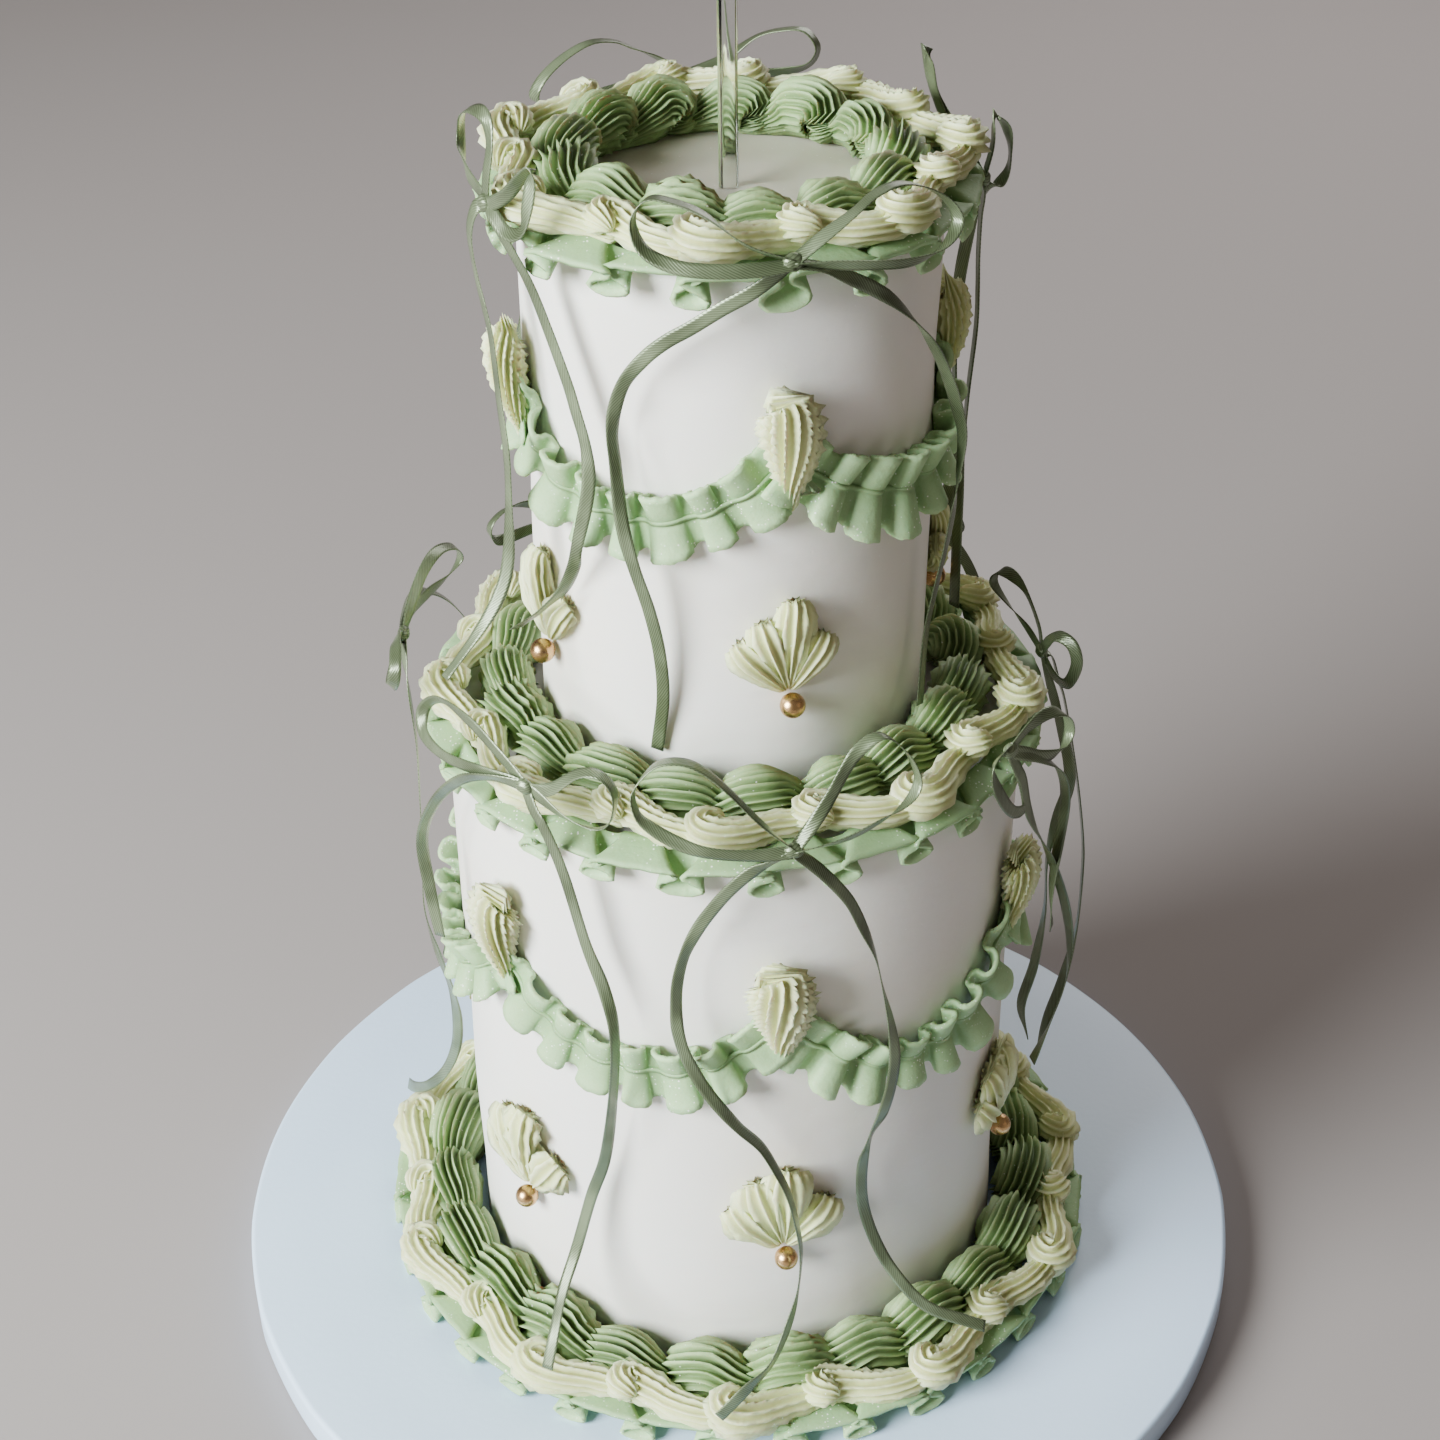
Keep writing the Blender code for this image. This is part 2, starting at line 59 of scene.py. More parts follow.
Array = np.ndarray
MM = 0.001

BOARD_TOP = 0.012
BOARD_RADIUS = 0.1535
LOWER_RADIUS = 0.079
LOWER_TOP = 0.196
UPPER_RADIUS = 0.052
UPPER_TOP = 0.342
# How deep piped icing sinks into a flat and into a wall, and how far a swag's seam stands out.
RING_SINK = 0.0008
WALL_SINK = 0.001
SEAM_STAND = 0.0007
# Radians to each side over which the slope of a swag's seam is taken.
SLOPE_STEP = 0.004
# Vertices this near each other are one, in turned pieces and in frills.
TURNED_MERGE = 0.000005
FRILL_MERGE = 0.000002
BLANK_PREFIX = "blank_"
# Angles through a rounded edge, from the flat to the wall.
QUARTER_TURN = tuple(i / 6 * math.pi / 2 for i in range(7))


class Roll(Enum):
    """Which way a curl of the cream garland turns."""

    OUTWARD = 1
    INWARD = -1


class Lay(Enum):
    """How a ribbon lies at a point of its run, in degrees of turn from flat on the wall."""

    FLAT = 0.0
    LEANING = 35.0
    STEEP = 65.0
    ON_EDGE = 90.0


# ---------------------------------------------------------------------------- shader expressions


class Wire:
    """A shader socket that takes part in Python expressions."""

    def __init__(self, tree: bpy.types.NodeTree, socket: bpy.types.NodeSocket) -> None:
        """Wraps an output socket.

        Args:
            tree: The node tree that the expression's nodes are added to.
            socket: The output socket that carries the value.
        """
        self.tree = tree
        self.socket = socket

    def _math(self, operation: str, *values: "Wire | float") -> "Wire":
        """Adds one Math node.

        Args:
            operation: The Math node's operation.
            values: Its inputs, wires or numbers.

        Returns:
            The node's result.
        """
        node = self.tree.nodes.new("ShaderNodeMath")
        node.operation = operation
        for index, value in enumerate(values):
            if isinstance(value, Wire):
                self.tree.links.new(value.socket, node.inputs[index])
            else:
                node.inputs[index].default_value = value
        return Wire(self.tree, node.outputs[0])

    def __add__(self, other: "Wire | float") -> "Wire":
        """Sum."""
        return self._math("ADD", self, other)

    __radd__ = __add__

    def __sub__(self, other: "Wire | float") -> "Wire":
        """Difference."""
        return self._math("SUBTRACT", self, other)

    def __rsub__(self, other: float) -> "Wire":
        """Difference from a number."""
        return self._math("SUBTRACT", other, self)

    def __mul__(self, other: "Wire | float") -> "Wire":
        """Product."""
        return self._math("MULTIPLY", self, other)

    __rmul__ = __mul__

    def __pow__(self, other: float) -> "Wire":
        """Power."""
        return self._math("POWER", self, other)

    def over(self, limit: float) -> "Wire":
        """One where the value is over the limit, else zero."""
        return self._math("GREATER_THAN", self, limit)

    def under(self, limit: "Wire | float") -> "Wire":
        """One where the value is under the limit, else zero."""
        return self._math("LESS_THAN", self, limit)

    def clamped(self) -> "Wire":
        """The value kept between 0 and 1."""
        held = self._math("MAXIMUM", self, 0.0)
        return held._math("MINIMUM", held, 1.0)


class Palette:
    """Builds one material's nodes round its Principled shader."""

    def __init__(self, name: str) -> None:
        """Makes an empty material with a Principled shader.

        Args:
            name: The material's name.
        """
        self.material = bpy.data.materials.new(name)
        self.material.use_nodes = True
        self.tree = self.material.node_tree
        self.shader = self.tree.nodes["Principled BSDF"]

    def node(self, kind: str, settings: dict | None = None, **sockets: object) -> bpy.types.Node:
        """Adds a node.

        Args:
            kind: The node's type name.
            settings: Attributes of the node, set first.
            sockets: Input values or wires, by socket name with spaces as underscores.

        Returns:
            The new node.
        """
        made = self.tree.nodes.new(kind)
        for key, value in (settings or {}).items():
            setattr(made, key, value)
        for key, value in sockets.items():
            self.feed(made.inputs[key.replace("_", " ")], value)
        return made

    def feed(self, target: bpy.types.NodeSocket, value: object) -> None:
        """Links or sets a socket.

        Args:
            target: The input socket.
            value: A wire, a number or a colour.
        """
        if isinstance(value, Wire):
            self.tree.links.new(value.socket, target)
        else:
            target.default_value = value

    def wire(self, node: bpy.types.Node, output: str = "Fac") -> Wire:
        """An output of a node as a wire."""
        return Wire(self.tree, node.outputs[output])

    def place(self, scale: tuple[float, float, float] = (1, 1, 1)) -> Wire:
        """Object coordinates, stretched.

        Args:
            scale: Factor for each axis.

        Returns:
            The coordinates.
        """
        spot = self.wire(self.node("ShaderNodeTexCoord"), "Object")
        mapped = self.node("ShaderNodeMapping", Vector=spot, Scale=scale)
        return self.wire(mapped, "Vector")

    def noise(self, scale: float, detail: float = 3.0, stretch: tuple = (1, 1, 1)) -> Wire:
        """Noise per metre of the object.

        Args:
            scale: Features to a metre.
            detail: Octaves.
            stretch: Factor for each axis.

        Returns:
            The noise, about 0.3 to 0.7.
        """
        made = self.node("ShaderNodeTexNoise", Vector=self.place(stretch), Scale=scale,
                         Detail=detail)
        return self.wire(made)

    def attribute(self, name: str) -> Wire:
        """A number that the mesh carries."""
        return self.wire(self.node("ShaderNodeAttribute", {"attribute_name": name}))

    def mix(self, share: Wire | float, first: object, second: object) -> Wire:
        """Mixes two colours.

        Args:
            share: How much of the second.
            first: A colour or a wire.
            second: A colour or a wire.

        Returns:
            The mixed colour.
        """
        made = self.node("ShaderNodeMix", {"data_type": "RGBA"})
        self.feed(made.inputs[0], share)
        for index, value in ((6, first), (7, second)):
            self.feed(made.inputs[index], value if isinstance(value, Wire) else (*value, 1.0))
        return Wire(self.tree, made.outputs[2])

    def height(self) -> Wire:
        """Height over the floor, in metres."""
        return self.wire(self.node("ShaderNodeSeparateXYZ", Vector=self.place()), "Z")

    def specks(self, scale: float, rarity: float, size: float) -> Wire:
        """Small bright grains, scattered one to a few cells.

        Args:
            scale: Cells to a metre.
            rarity: Share of the cells that hold none.
            size: Radius of a grain in cells.

        Returns:
            One on a grain, else zero.
        """
        cells = self.node("ShaderNodeTexVoronoi", Vector=self.place(), Scale=scale)
        tint = self.node("ShaderNodeSeparateColor", Color=self.wire(cells, "Color"))
        return self.wire(tint, "Red").over(rarity) * self.wire(cells, "Distance").under(size)

    def bump(self, height: Wire, strength: float, distance: float) -> None:
        """Feeds a bump to the shader's normal.

        Args:
            height: The height field.
            strength: Share of the bump that is used.
            distance: Height of a full step, in metres.
        """
        made = self.node("ShaderNodeBump", Height=height, Strength=strength, Distance=distance)
        self.feed(self.shader.inputs["Normal"], self.wire(made, "Normal"))

    def set(self, **values: object) -> None:
        """Sets sockets of the Principled shader, names with spaces as underscores."""
        for key, value in values.items():
            self.feed(self.shader.inputs[key.replace("_", " ")], value)


@dataclass(frozen=True)
class Buttercream:
    """Piped buttercream, with painted light on its crests and painted shade in its grooves."""

    name: str
    # crest and groove are lit and shaded copies of one colour: painted light on the crests, painted
    # shade in the grooves; groove also tints the fine dark grain.
    crest: tuple[float, float, float]
    groove: tuple[float, float, float]
    patch: tuple[float, float, float]
    glitter: float = 0.0

    def build(self) -> bpy.types.Material:
        """Makes the material.

        Returns:
            The material.
        """
        p = Palette(self.name)
        # Painted light and shade: the ridge value takes the colour from the painted shade of the
        # grooves to the painted light of the crests.
        crest = (p.attribute("ridge") ** 0.85).clamped()
        tone = p.mix(crest, self.groove, self.crest)
        cloud = ((p.noise(38, 2) - 0.45) * 5).clamped()
        tone = p.mix(cloud * 0.45, tone, self.patch)
        grain = p.noise(1500, 2)
        tone = p.mix(((grain - 0.5) * 0.7).clamped(), tone, self.groove)
        rough = 0.46 + 0.18 * p.noise(260, 2)
        if self.glitter:
            # Glitter grains painted near white and made smoother: partly the real pale glitter,
            # partly painted glints of its sparkle.
            specks_and_glints = p.specks(1250, 1 - self.glitter, 0.30)
            drift = ((p.noise(55, 1) - 0.42) * 6).clamped()
            specks_and_glints = specks_and_glints * drift
            tone = p.mix(specks_and_glints * 0.85, tone, (0.95, 0.97, 0.90))
            rough = rough * (1 - specks_and_glints * 0.75)
        p.set(Base_Color=tone, Roughness=rough, Subsurface_Weight=0.12, Subsurface_Scale=0.002,
              Specular_IOR_Level=0.35)
        pits = p.specks(620, 0.86, 0.22)
        height = p.noise(900, 3) * 0.55 + p.noise(170, 2) * 0.7 - pits * 0.5
        p.bump(height, 0.5, 0.0005)
        return p.material


@dataclass(frozen=True)
class WallIcing:
    """Buttercream smoothed on the tiers with a scraper, with painted shade on the top face of the
    upper tier.
    """

    name: str = "smoothed_ivory_icing"
    tone: tuple[float, float, float] = (0.85, 0.825, 0.785)
    warm: tuple[float, float, float] = (0.84, 0.79, 0.70)
    cool: tuple[float, float, float] = (0.84, 0.83, 0.825)
    # Painted shade colour for the top face of the upper tier, which lies in the shade of the piped
    # ring round it.
    top_shade: tuple[float, float, float] = (0.62, 0.60, 0.49)

    def build(self) -> bpy.types.Material:
        """Makes the material.

        Returns:
            The material.
        """
        p = Palette(self.name)
        smear = ((p.noise(14, 2, (1, 1, 0.6)) - 0.42) * 4).clamped()
        tone = p.mix(smear * 0.6, self.tone, self.warm)
        pale = ((p.noise(24, 2, (1, 1, 0.4)) - 0.48) * 5).clamped()
        tone = p.mix(pale * 0.5, tone, self.cool)
        # Painted shade: the top face of the upper tier is darkened and warmed by height.
        tone = p.mix(((p.height() - (UPPER_TOP - 0.0012)) * 2000).clamped(), tone, self.top_shade)
        # Sparse near-white grains: partly real pale grains in the icing, partly painted glints.
        specks_and_glints = p.specks(900, 0.975, 0.2)
        tone = p.mix(specks_and_glints * 0.6, tone, (0.95, 0.95, 0.93))
        p.set(Base_Color=tone, Roughness=0.36 + 0.22 * p.noise(45, 3, (1, 1, 2.5)),
              Subsurface_Weight=0.1, Subsurface_Scale=0.003, Specular_IOR_Level=0.4)
        drag = p.noise(60, 4, (1, 1, 3.2))
        pits = p.specks(310, 0.93, 0.16)
        p.bump(drag * 0.8 + p.noise(420, 3) * 0.12 - pits * 0.45, 0.45, 0.0006)
        return p.material


@dataclass(frozen=True)
class Satin:
    """Narrow satin ribbon with its fine slanting weave and painted sheen."""

    name: str = "sage_satin_ribbon"
    # dark is the ribbon's colour and pale a lighter copy of it, used for the weave and for painted
    # sheen.
    dark: tuple[float, float, float] = (0.070, 0.092, 0.045)
    pale: tuple[float, float, float] = (0.23, 0.29, 0.17)

    def build(self) -> bpy.types.Material:
        """Makes the material.

        Returns:
            The material.
        """
        p = Palette(self.name)
        spot = p.wire(p.node("ShaderNodeUVMap"), "UV")
        slant = p.node("ShaderNodeMapping", Vector=spot, Rotation=(0, 0, math.radians(62)))
        threads = p.node("ShaderNodeTexWave", {"wave_type": "BANDS", "bands_direction": "X"},
                         Vector=p.wire(slant, "Vector"), Scale=560.0, Distortion=1.2, Detail=1.0)
        weave = p.wire(threads)
        # Painted sheen: noise patches lean the colour towards the pale copy, standing in for the
        # satin's highlights; the weave adds its own fine stripes.
        sheen = ((p.noise(70, 2) - 0.4) * 4).clamped()
        tone = p.mix(sheen * 0.5 + weave * 0.3, self.dark, self.pale)
        p.set(Base_Color=tone, Roughness=0.26 + weave * 0.14, Metallic=0.45, Coat_Weight=0.35,
              Coat_Roughness=0.28, Anisotropic=0.5)
        p.bump(weave + 0.5 * p.noise(2600, 2), 0.3, 0.00012)
        return p.material


@dataclass(frozen=True)
class PearlLustre:
    """Gold lustre on a sugar pearl."""

    name: str = "gold_sugar_pearl"
    gold: tuple[float, float, float] = (0.66, 0.42, 0.20)
    worn: tuple[float, float, float] = (0.50, 0.29, 0.13)

    def build(self) -> bpy.types.Material:
        """Makes the material.

        Returns:
            The material.
        """
        p = Palette(self.name)
        tone = p.mix(((p.noise(420, 3) - 0.45) * 3).clamped(), self.gold, self.worn)
        p.set(Base_Color=tone, Metallic=1.0, Roughness=0.22 + 0.12 * p.noise(900, 2))
        p.bump(p.noise(1100, 2), 0.2, 0.0002)
        return p.material


@dataclass(frozen=True)
class BoardCovering:
    """White foil covering of the drum board, tinted blue by painted reflection of cool light."""

    name: str = "white_board_covering"
    # Both colours carry a blue tint that is painted reflection of cool light in the foil; shade is
    # only a random darker mottle.
    tone: tuple[float, float, float] = (0.61, 0.78, 0.99)
    shade: tuple[float, float, float] = (0.55, 0.72, 0.96)

    def build(self) -> bpy.types.Material:
        """Makes the material.

        Returns:
            The material.
        """
        p = Palette(self.name)
        tone = p.mix(((p.noise(9, 2) - 0.42) * 3).clamped() * 0.6, self.tone, self.shade)
        p.set(Base_Color=tone, Roughness=0.30 + 0.12 * p.noise(30, 3), Coat_Weight=0.25,
              Coat_Roughness=0.12, Specular_IOR_Level=0.45)
        p.bump(p.noise(420, 2) * 0.35 + p.noise(26, 2), 0.25, 0.0006)
        return p.material


@dataclass(frozen=True)
class ClearSheet:
    """Clear cut acrylic."""

    name: str = "clear_cut_acrylic"
    tone: tuple[float, float, float] = (0.93, 0.95, 0.93)
    clearest: tuple[float, float, float] = (0.97, 0.98, 0.97)

    def build(self) -> bpy.types.Material:
        """Makes the material.

        Returns:
            The material.
        """
        p = Palette(self.name)
        tone = p.mix(((p.noise(120, 2) - 0.4) * 2).clamped(), self.tone, self.clearest)
        p.set(Base_Color=tone, Roughness=0.03 + 0.05 * p.noise(500, 2), IOR=1.49,
              Transmission_Weight=1.0)
        p.bump(p.noise(90, 1), 0.05, 0.0003)
        return p.material


@dataclass(frozen=True)
class Finishes:
    """The finishes of the whole cake."""

    scallop: bpy.types.Material
    frill: bpy.types.Material
    cream: bpy.types.Material
    wall: bpy.types.Material
    satin: bpy.types.Material
    pearl: bpy.types.Material
    board: bpy.types.Material
    clear: bpy.types.Material

    @classmethod
    def mixed(cls) -> "Finishes":
        """Builds every finish once.

        Returns:
            The finishes.
        """
        return cls(
            # Each crest colour is the painted light and each groove colour the painted shade of one
            # buttercream.
            scallop=Buttercream("sage_piped_buttercream", crest=(0.43, 0.59, 0.29),
                                groove=(0.085, 0.140, 0.045), patch=(0.33, 0.49, 0.20),
                                glitter=0.035).build(),
            frill=Buttercream("mint_ruffle_buttercream", crest=(0.42, 0.62, 0.33),
                              groove=(0.16, 0.28, 0.11), patch=(0.35, 0.56, 0.28),
                              glitter=0.18).build(),
            cream=Buttercream("pale_cream_buttercream", crest=(0.86, 0.91, 0.62),
                              groove=(0.46, 0.48, 0.19), patch=(0.80, 0.87, 0.44),
                              glitter=0.01).build(),
            wall=WallIcing().build(),
            satin=Satin().build(),
            pearl=PearlLustre().build(),
            board=BoardCovering().build(),
            clear=ClearSheet().build(),
        )


# ---------------------------------------------------------------------------- mesh building


def catmull(points: Array, share: Array) -> Array:
    """Points of a Catmull-Rom curve.

    Args:
        points: Control points, one to a row.
        share: Places along the curve, 0 to 1.

    Returns:
        One point to a row.
    """
    points = np.asarray(points, float)
    if points.ndim == 1:
        points = points[:, None]
    padded = np.vstack([2 * points[0] - points[1], points, 2 * points[-1] - points[-2]])
    spans = len(points) - 1
    place = np.clip(np.asarray(share, float), 0, 1) * spans
    index = np.minimum(place.astype(int), spans - 1)
    t = (place - index)[:, None]
    a, b, c, d = (padded[index + k] for k in range(4))
    return 0.5 * (2 * b + (c - a) * t + (2 * a - 5 * b + 4 * c - d) * t**2
                  + (3 * b - a - 3 * c + d) * t**3)


def sampled(columns: Array, samples: Array, share: Array) -> Array:
    """Reads columns that are known at samples at other places along them.

    Args:
        columns: One row for each sample.
        samples: Where the rows lie, 0 to 1.
        share: Where they are wanted.

    Returns:
        One row for each wanted place.
    """
    return np.stack([np.interp(share, samples, column) for column in columns.T], axis=1)


def unit(rows: Array) -> Array:
    """Rows scaled to length 1."""
    return rows / np.maximum(np.linalg.norm(rows, axis=1, keepdims=True), 1e-12)


def wrap(local: Array, radius: float, azimuth: float, height: float) -> Array:
    """Wraps local (along, outward, up) metres round the cake's axis.

    Args:
        local: One point to a row.
        radius: Radius that outward 0 lies on.
        azimuth: Where along 0 lies, in degrees.
        height: Where up 0 lies.

    Returns:
        World points.
    """
    turn = math.radians(azimuth) + local[:, 0] / radius
    reach = radius + local[:, 1]
    return np.stack([reach * np.sin(turn), -reach * np.cos(turn), height + local[:, 2]], axis=1)


def baked(name: str, bm: bmesh.types.BMesh) -> bpy.types.Mesh:
    """Turns a bmesh into a mesh and frees it.

    Args:
        name: The mesh's name.
        bm: The bmesh.

    Returns:
        The mesh.
    """
    mesh = bpy.data.meshes.new(name)
    bm.to_mesh(mesh)
    bm.free()
    return mesh


def places_of(mesh: bpy.types.Mesh) -> Array:
    """Reads a mesh's vertices.

    Args:
        mesh: The mesh.

    Returns:
        Their places, one to a row.
    """
    places = np.empty(len(mesh.vertices) * 3)
    mesh.vertices.foreach_get("co", places)
    return places.reshape(-1, 3)


class Blank:
    """A closed round blank from a sphere operator, whose vertices are then moved."""

    def __init__(self, sides: int, rings: int) -> None:
        """Makes the blank.

        Args:
            sides: Segments round it.
            rings: Rings from one end to the other.
        """
        bm = bmesh.new()
        bmesh.ops.create_uvsphere(bm, u_segments=sides, v_segments=rings, radius=1)
        self.mesh = baked(f"{BLANK_PREFIX}{sides}_{rings}", bm)
        place = places_of(self.mesh)
        self.turn = np.arctan2(place[:, 1], place[:, 0])
        self.along = np.arccos(np.clip(place[:, 2], -1, 1)) / math.pi


@dataclass
class Batch:
    """Many moved blanks that end as one piece."""

    name: str
    parts: list[tuple[bpy.types.Mesh, Array, Array]] = field(default_factory=list)

    def add(self, mesh: bpy.types.Mesh, places: Array, ridge: Array) -> None:
        """Adds a blank with its new vertex places and ridge values, which carry painted light and
        shade.
        """
        self.parts.append((mesh, places, ridge))

    def build(self, finish: bpy.types.Material) -> bpy.types.Object:
        """Joins the parts into one smooth-shaded object.

        Args:
            finish: Its material.

        Returns:
            The object.
        """
        bm = bmesh.new()
        for mesh, _, _ in self.parts:
            bm.from_mesh(mesh)
        joined = baked(self.name, bm)
        places = np.vstack([part[1] for part in self.parts])
        joined.vertices.foreach_set("co", places.ravel())
        # The ridge value paints light on the crests and shade in the grooves.
        ridge = joined.attributes.new("ridge", "FLOAT", "POINT")
        ridge.data.foreach_set("value", np.concatenate([part[2] for part in self.parts]))
        joined.update()
        return finished(self.name, joined, finish)


def finished(name: str, mesh: bpy.types.Mesh, finish: bpy.types.Material) -> bpy.types.Object:
    """Links a mesh as a smooth-shaded object with its finish.

    Args:
        name: The piece's name.
        mesh: Its mesh.
        finish: Its material.

    Returns:
        The object.
    """
    mesh.materials.clear()
    mesh.materials.append(finish)
    mesh.shade_smooth()
    piece = bpy.data.objects.new(name, mesh)
    bpy.context.scene.collection.objects.link(piece)
    return piece


@dataclass(frozen=True)
class Nozzle:
    """The star nozzle that a stroke is piped with."""

    ridges: int
    depth: float
    tear: float = 0.05
    lean: float = 0.10
    sharp: float = 0.72

    def section(self, turn: Array, along: Array, rng: np.random.Generator) -> tuple[Array, Array]:
        """Radius factor and ridge value round and along a stroke.

        Args:
            turn: Angle round the stroke.
            along: Place along it, 0 to 1.
            rng: Draws the torn crests.

        Returns:
            The radius factor and the ridge value, 1 on a crest and 0 in a groove; it paints light
            on the crests and shade in the grooves.
        """
        phase = turn * self.ridges / (2 * math.pi)
        phase = phase + self.lean * np.sin(2 * math.pi * phase) / math.pi
        crest = 1 - np.abs(np.sin(math.pi * phase)) ** self.sharp
        number = np.round(phase).astype(int) % self.ridges
        waves = rng.uniform(0, 2 * math.pi, (4, self.ridges))
        sizes = rng.uniform(0.5, 1.0, self.ridges)
        torn = sum(
            np.sin(rate * along * math.pi + waves[k][number]) / (1 + 0.5 * k)
            for k, rate in enumerate((7, 17, 31, 47))
        )
        factor = 1 - self.depth * (1 - crest * (0.80 + 0.20 * sizes[number]))
        torn = torn * np.clip(along / 0.2, 0, 1)
        return factor + self.tear * torn * sizes[number] * crest**1.5 * 0.5, crest


@dataclass(frozen=True)
class Stroke:
    """One squeeze of the piping bag along a curved path, as rows of the path's control points.

    A row is (along, outward, up, half width, half height) in millimetres.
    """

    rows: tuple[tuple[float, ...], ...]
    nozzle: Nozzle
    twist: float = 0.0
    blunt: float = 0.16
    tip: float = 0.06
    dense: float = 0.45

    def shape(self, blank: Blank, rng: np.random.Generator,
              up: tuple[float, float, float] = (0, 0, 1)) -> tuple[Array, Array]:
        """Moves a blank onto the stroke.

        Args:
            blank: The blank.
            rng: Draws its unevenness.
            up: The direction that the half height is measured along.

        Returns:
            Local places in metres, and the ridge value of each, for painted light and shade.
        """
        rows = np.asarray(self.rows, float)
        samples = np.linspace(0, 1, 241)
        track = catmull(rows, samples)
        tangents = unit(np.gradient(track[:, :3], axis=0))
        along = blank.along
        at = sampled(track, samples, along)
        tangent = unit(sampled(tangents, samples, along))
        side = unit(np.cross(np.asarray(up, float), tangent))
        rise = np.cross(tangent, side)
        head = np.clip(along / self.blunt, 0, 1)
        tail = np.clip((1 - along) / self.tip, 0, 1)
        cap = np.sqrt(1 - (1 - head) ** 2) * np.sqrt(1 - (1 - tail) ** 2)
        spread = blank.turn + self.dense * np.cos(blank.turn)
        factor, ridge = self.nozzle.section(spread + self.twist * along, along, rng)
        across = np.cos(spread)[:, None] * side * (at[:, 3] * cap * factor)[:, None]
        upward = np.sin(spread)[:, None] * rise * (at[:, 4] * cap * factor)[:, None]
        return (at[:, :3] + across + upward) * MM, ridge


def shoulder(radius: float, top: float, edge: float) -> list[tuple[float, float]]:
    """Outline of a rounded upper edge, from the flat down to the wall.

    Args:
        radius: Radius of the wall.
        top: Height of the flat.
        edge: Radius of the rounding.

    Returns:
        (radius, height) points.
    """
    return [(radius - edge + edge * math.sin(a), top - edge + edge * math.cos(a))
            for a in QUARTER_TURN]


def turned(name: str, profile: Sequence[tuple[float, float]], steps: int,
           finish: bpy.types.Material, wobble: Callable[[Array], Array]) -> bpy.types.Object:
    """Spins an outline round the axis.

    Args:
        name: The piece's name.
        profile: (radius, height) points from the axis at the top to the axis at the bottom.
        steps: Segments round.
        finish: Its material.
        wobble: Moves the finished vertices, given and returned one to a row.

    Returns:
        The object.
    """
    bm = bmesh.new()
    outline = [bm.verts.new((radius, 0, height)) for radius, height in profile]
    edges = [bm.edges.new(pair) for pair in zip(outline, outline[1:])]
    bmesh.ops.spin(bm, geom=[*outline, *edges], cent=(0, 0, 0), axis=(0, 0, 1),
                   angle=2 * math.pi, steps=steps, use_merge=True)
    bmesh.ops.remove_doubles(bm, verts=bm.verts, dist=TURNED_MERGE)
    bmesh.ops.recalc_face_normals(bm, faces=bm.faces)
    mesh = baked(name, bm)
    mesh.vertices.foreach_set("co", wobble(places_of(mesh)).ravel())
    mesh.update()
    return finished(name, mesh, finish)


@dataclass(frozen=True)
class RolledWave:
    """The meandering line of a frill's free edge; steep enough, its loops close into tubes."""

    swing: float
    loop: float = 0.42
    neck: float = 0.66

    def line(self, phase: Array, amount: float) -> tuple[Array, Array]:
        """Follows the line of one row of the frill.

        Args:
            phase: Places along the frill, one wave to each whole number.
            amount: Share of the swing that this row has.

        Returns:
            The sideways shift and the height at each place, in pitches.
        """
        u = np.linspace(0, 1, 161)
        up = np.sin(0.5 * math.pi * np.clip(u / self.loop, 0, 1))
        down = np.cos(0.5 * math.pi * np.clip((u - self.loop) / (self.neck - self.loop), 0, 1))
        heading = math.radians(self.swing) * amount * np.where(u < self.loop, up, down)
        along = np.concatenate([[0], np.cumsum(np.cos(0.5 * (heading[1:] + heading[:-1])))])
        fall = np.concatenate([[0], np.cumsum(np.sin(0.5 * (heading[1:] + heading[:-1])))])
        scale = 0.5 / along[-1]
        place = phase - np.floor(phase) - 0.5
        far = np.abs(place) * 2
        shift = np.sign(place) * np.interp(far, u, along * scale) - place
        return shift, np.interp(far, u, (fall[-1] - fall) * scale)

    def top(self) -> float:
        """Height of a whole loop, in pitches."""
        return float(self.line(np.array([0.5]), 1.0)[1][0])


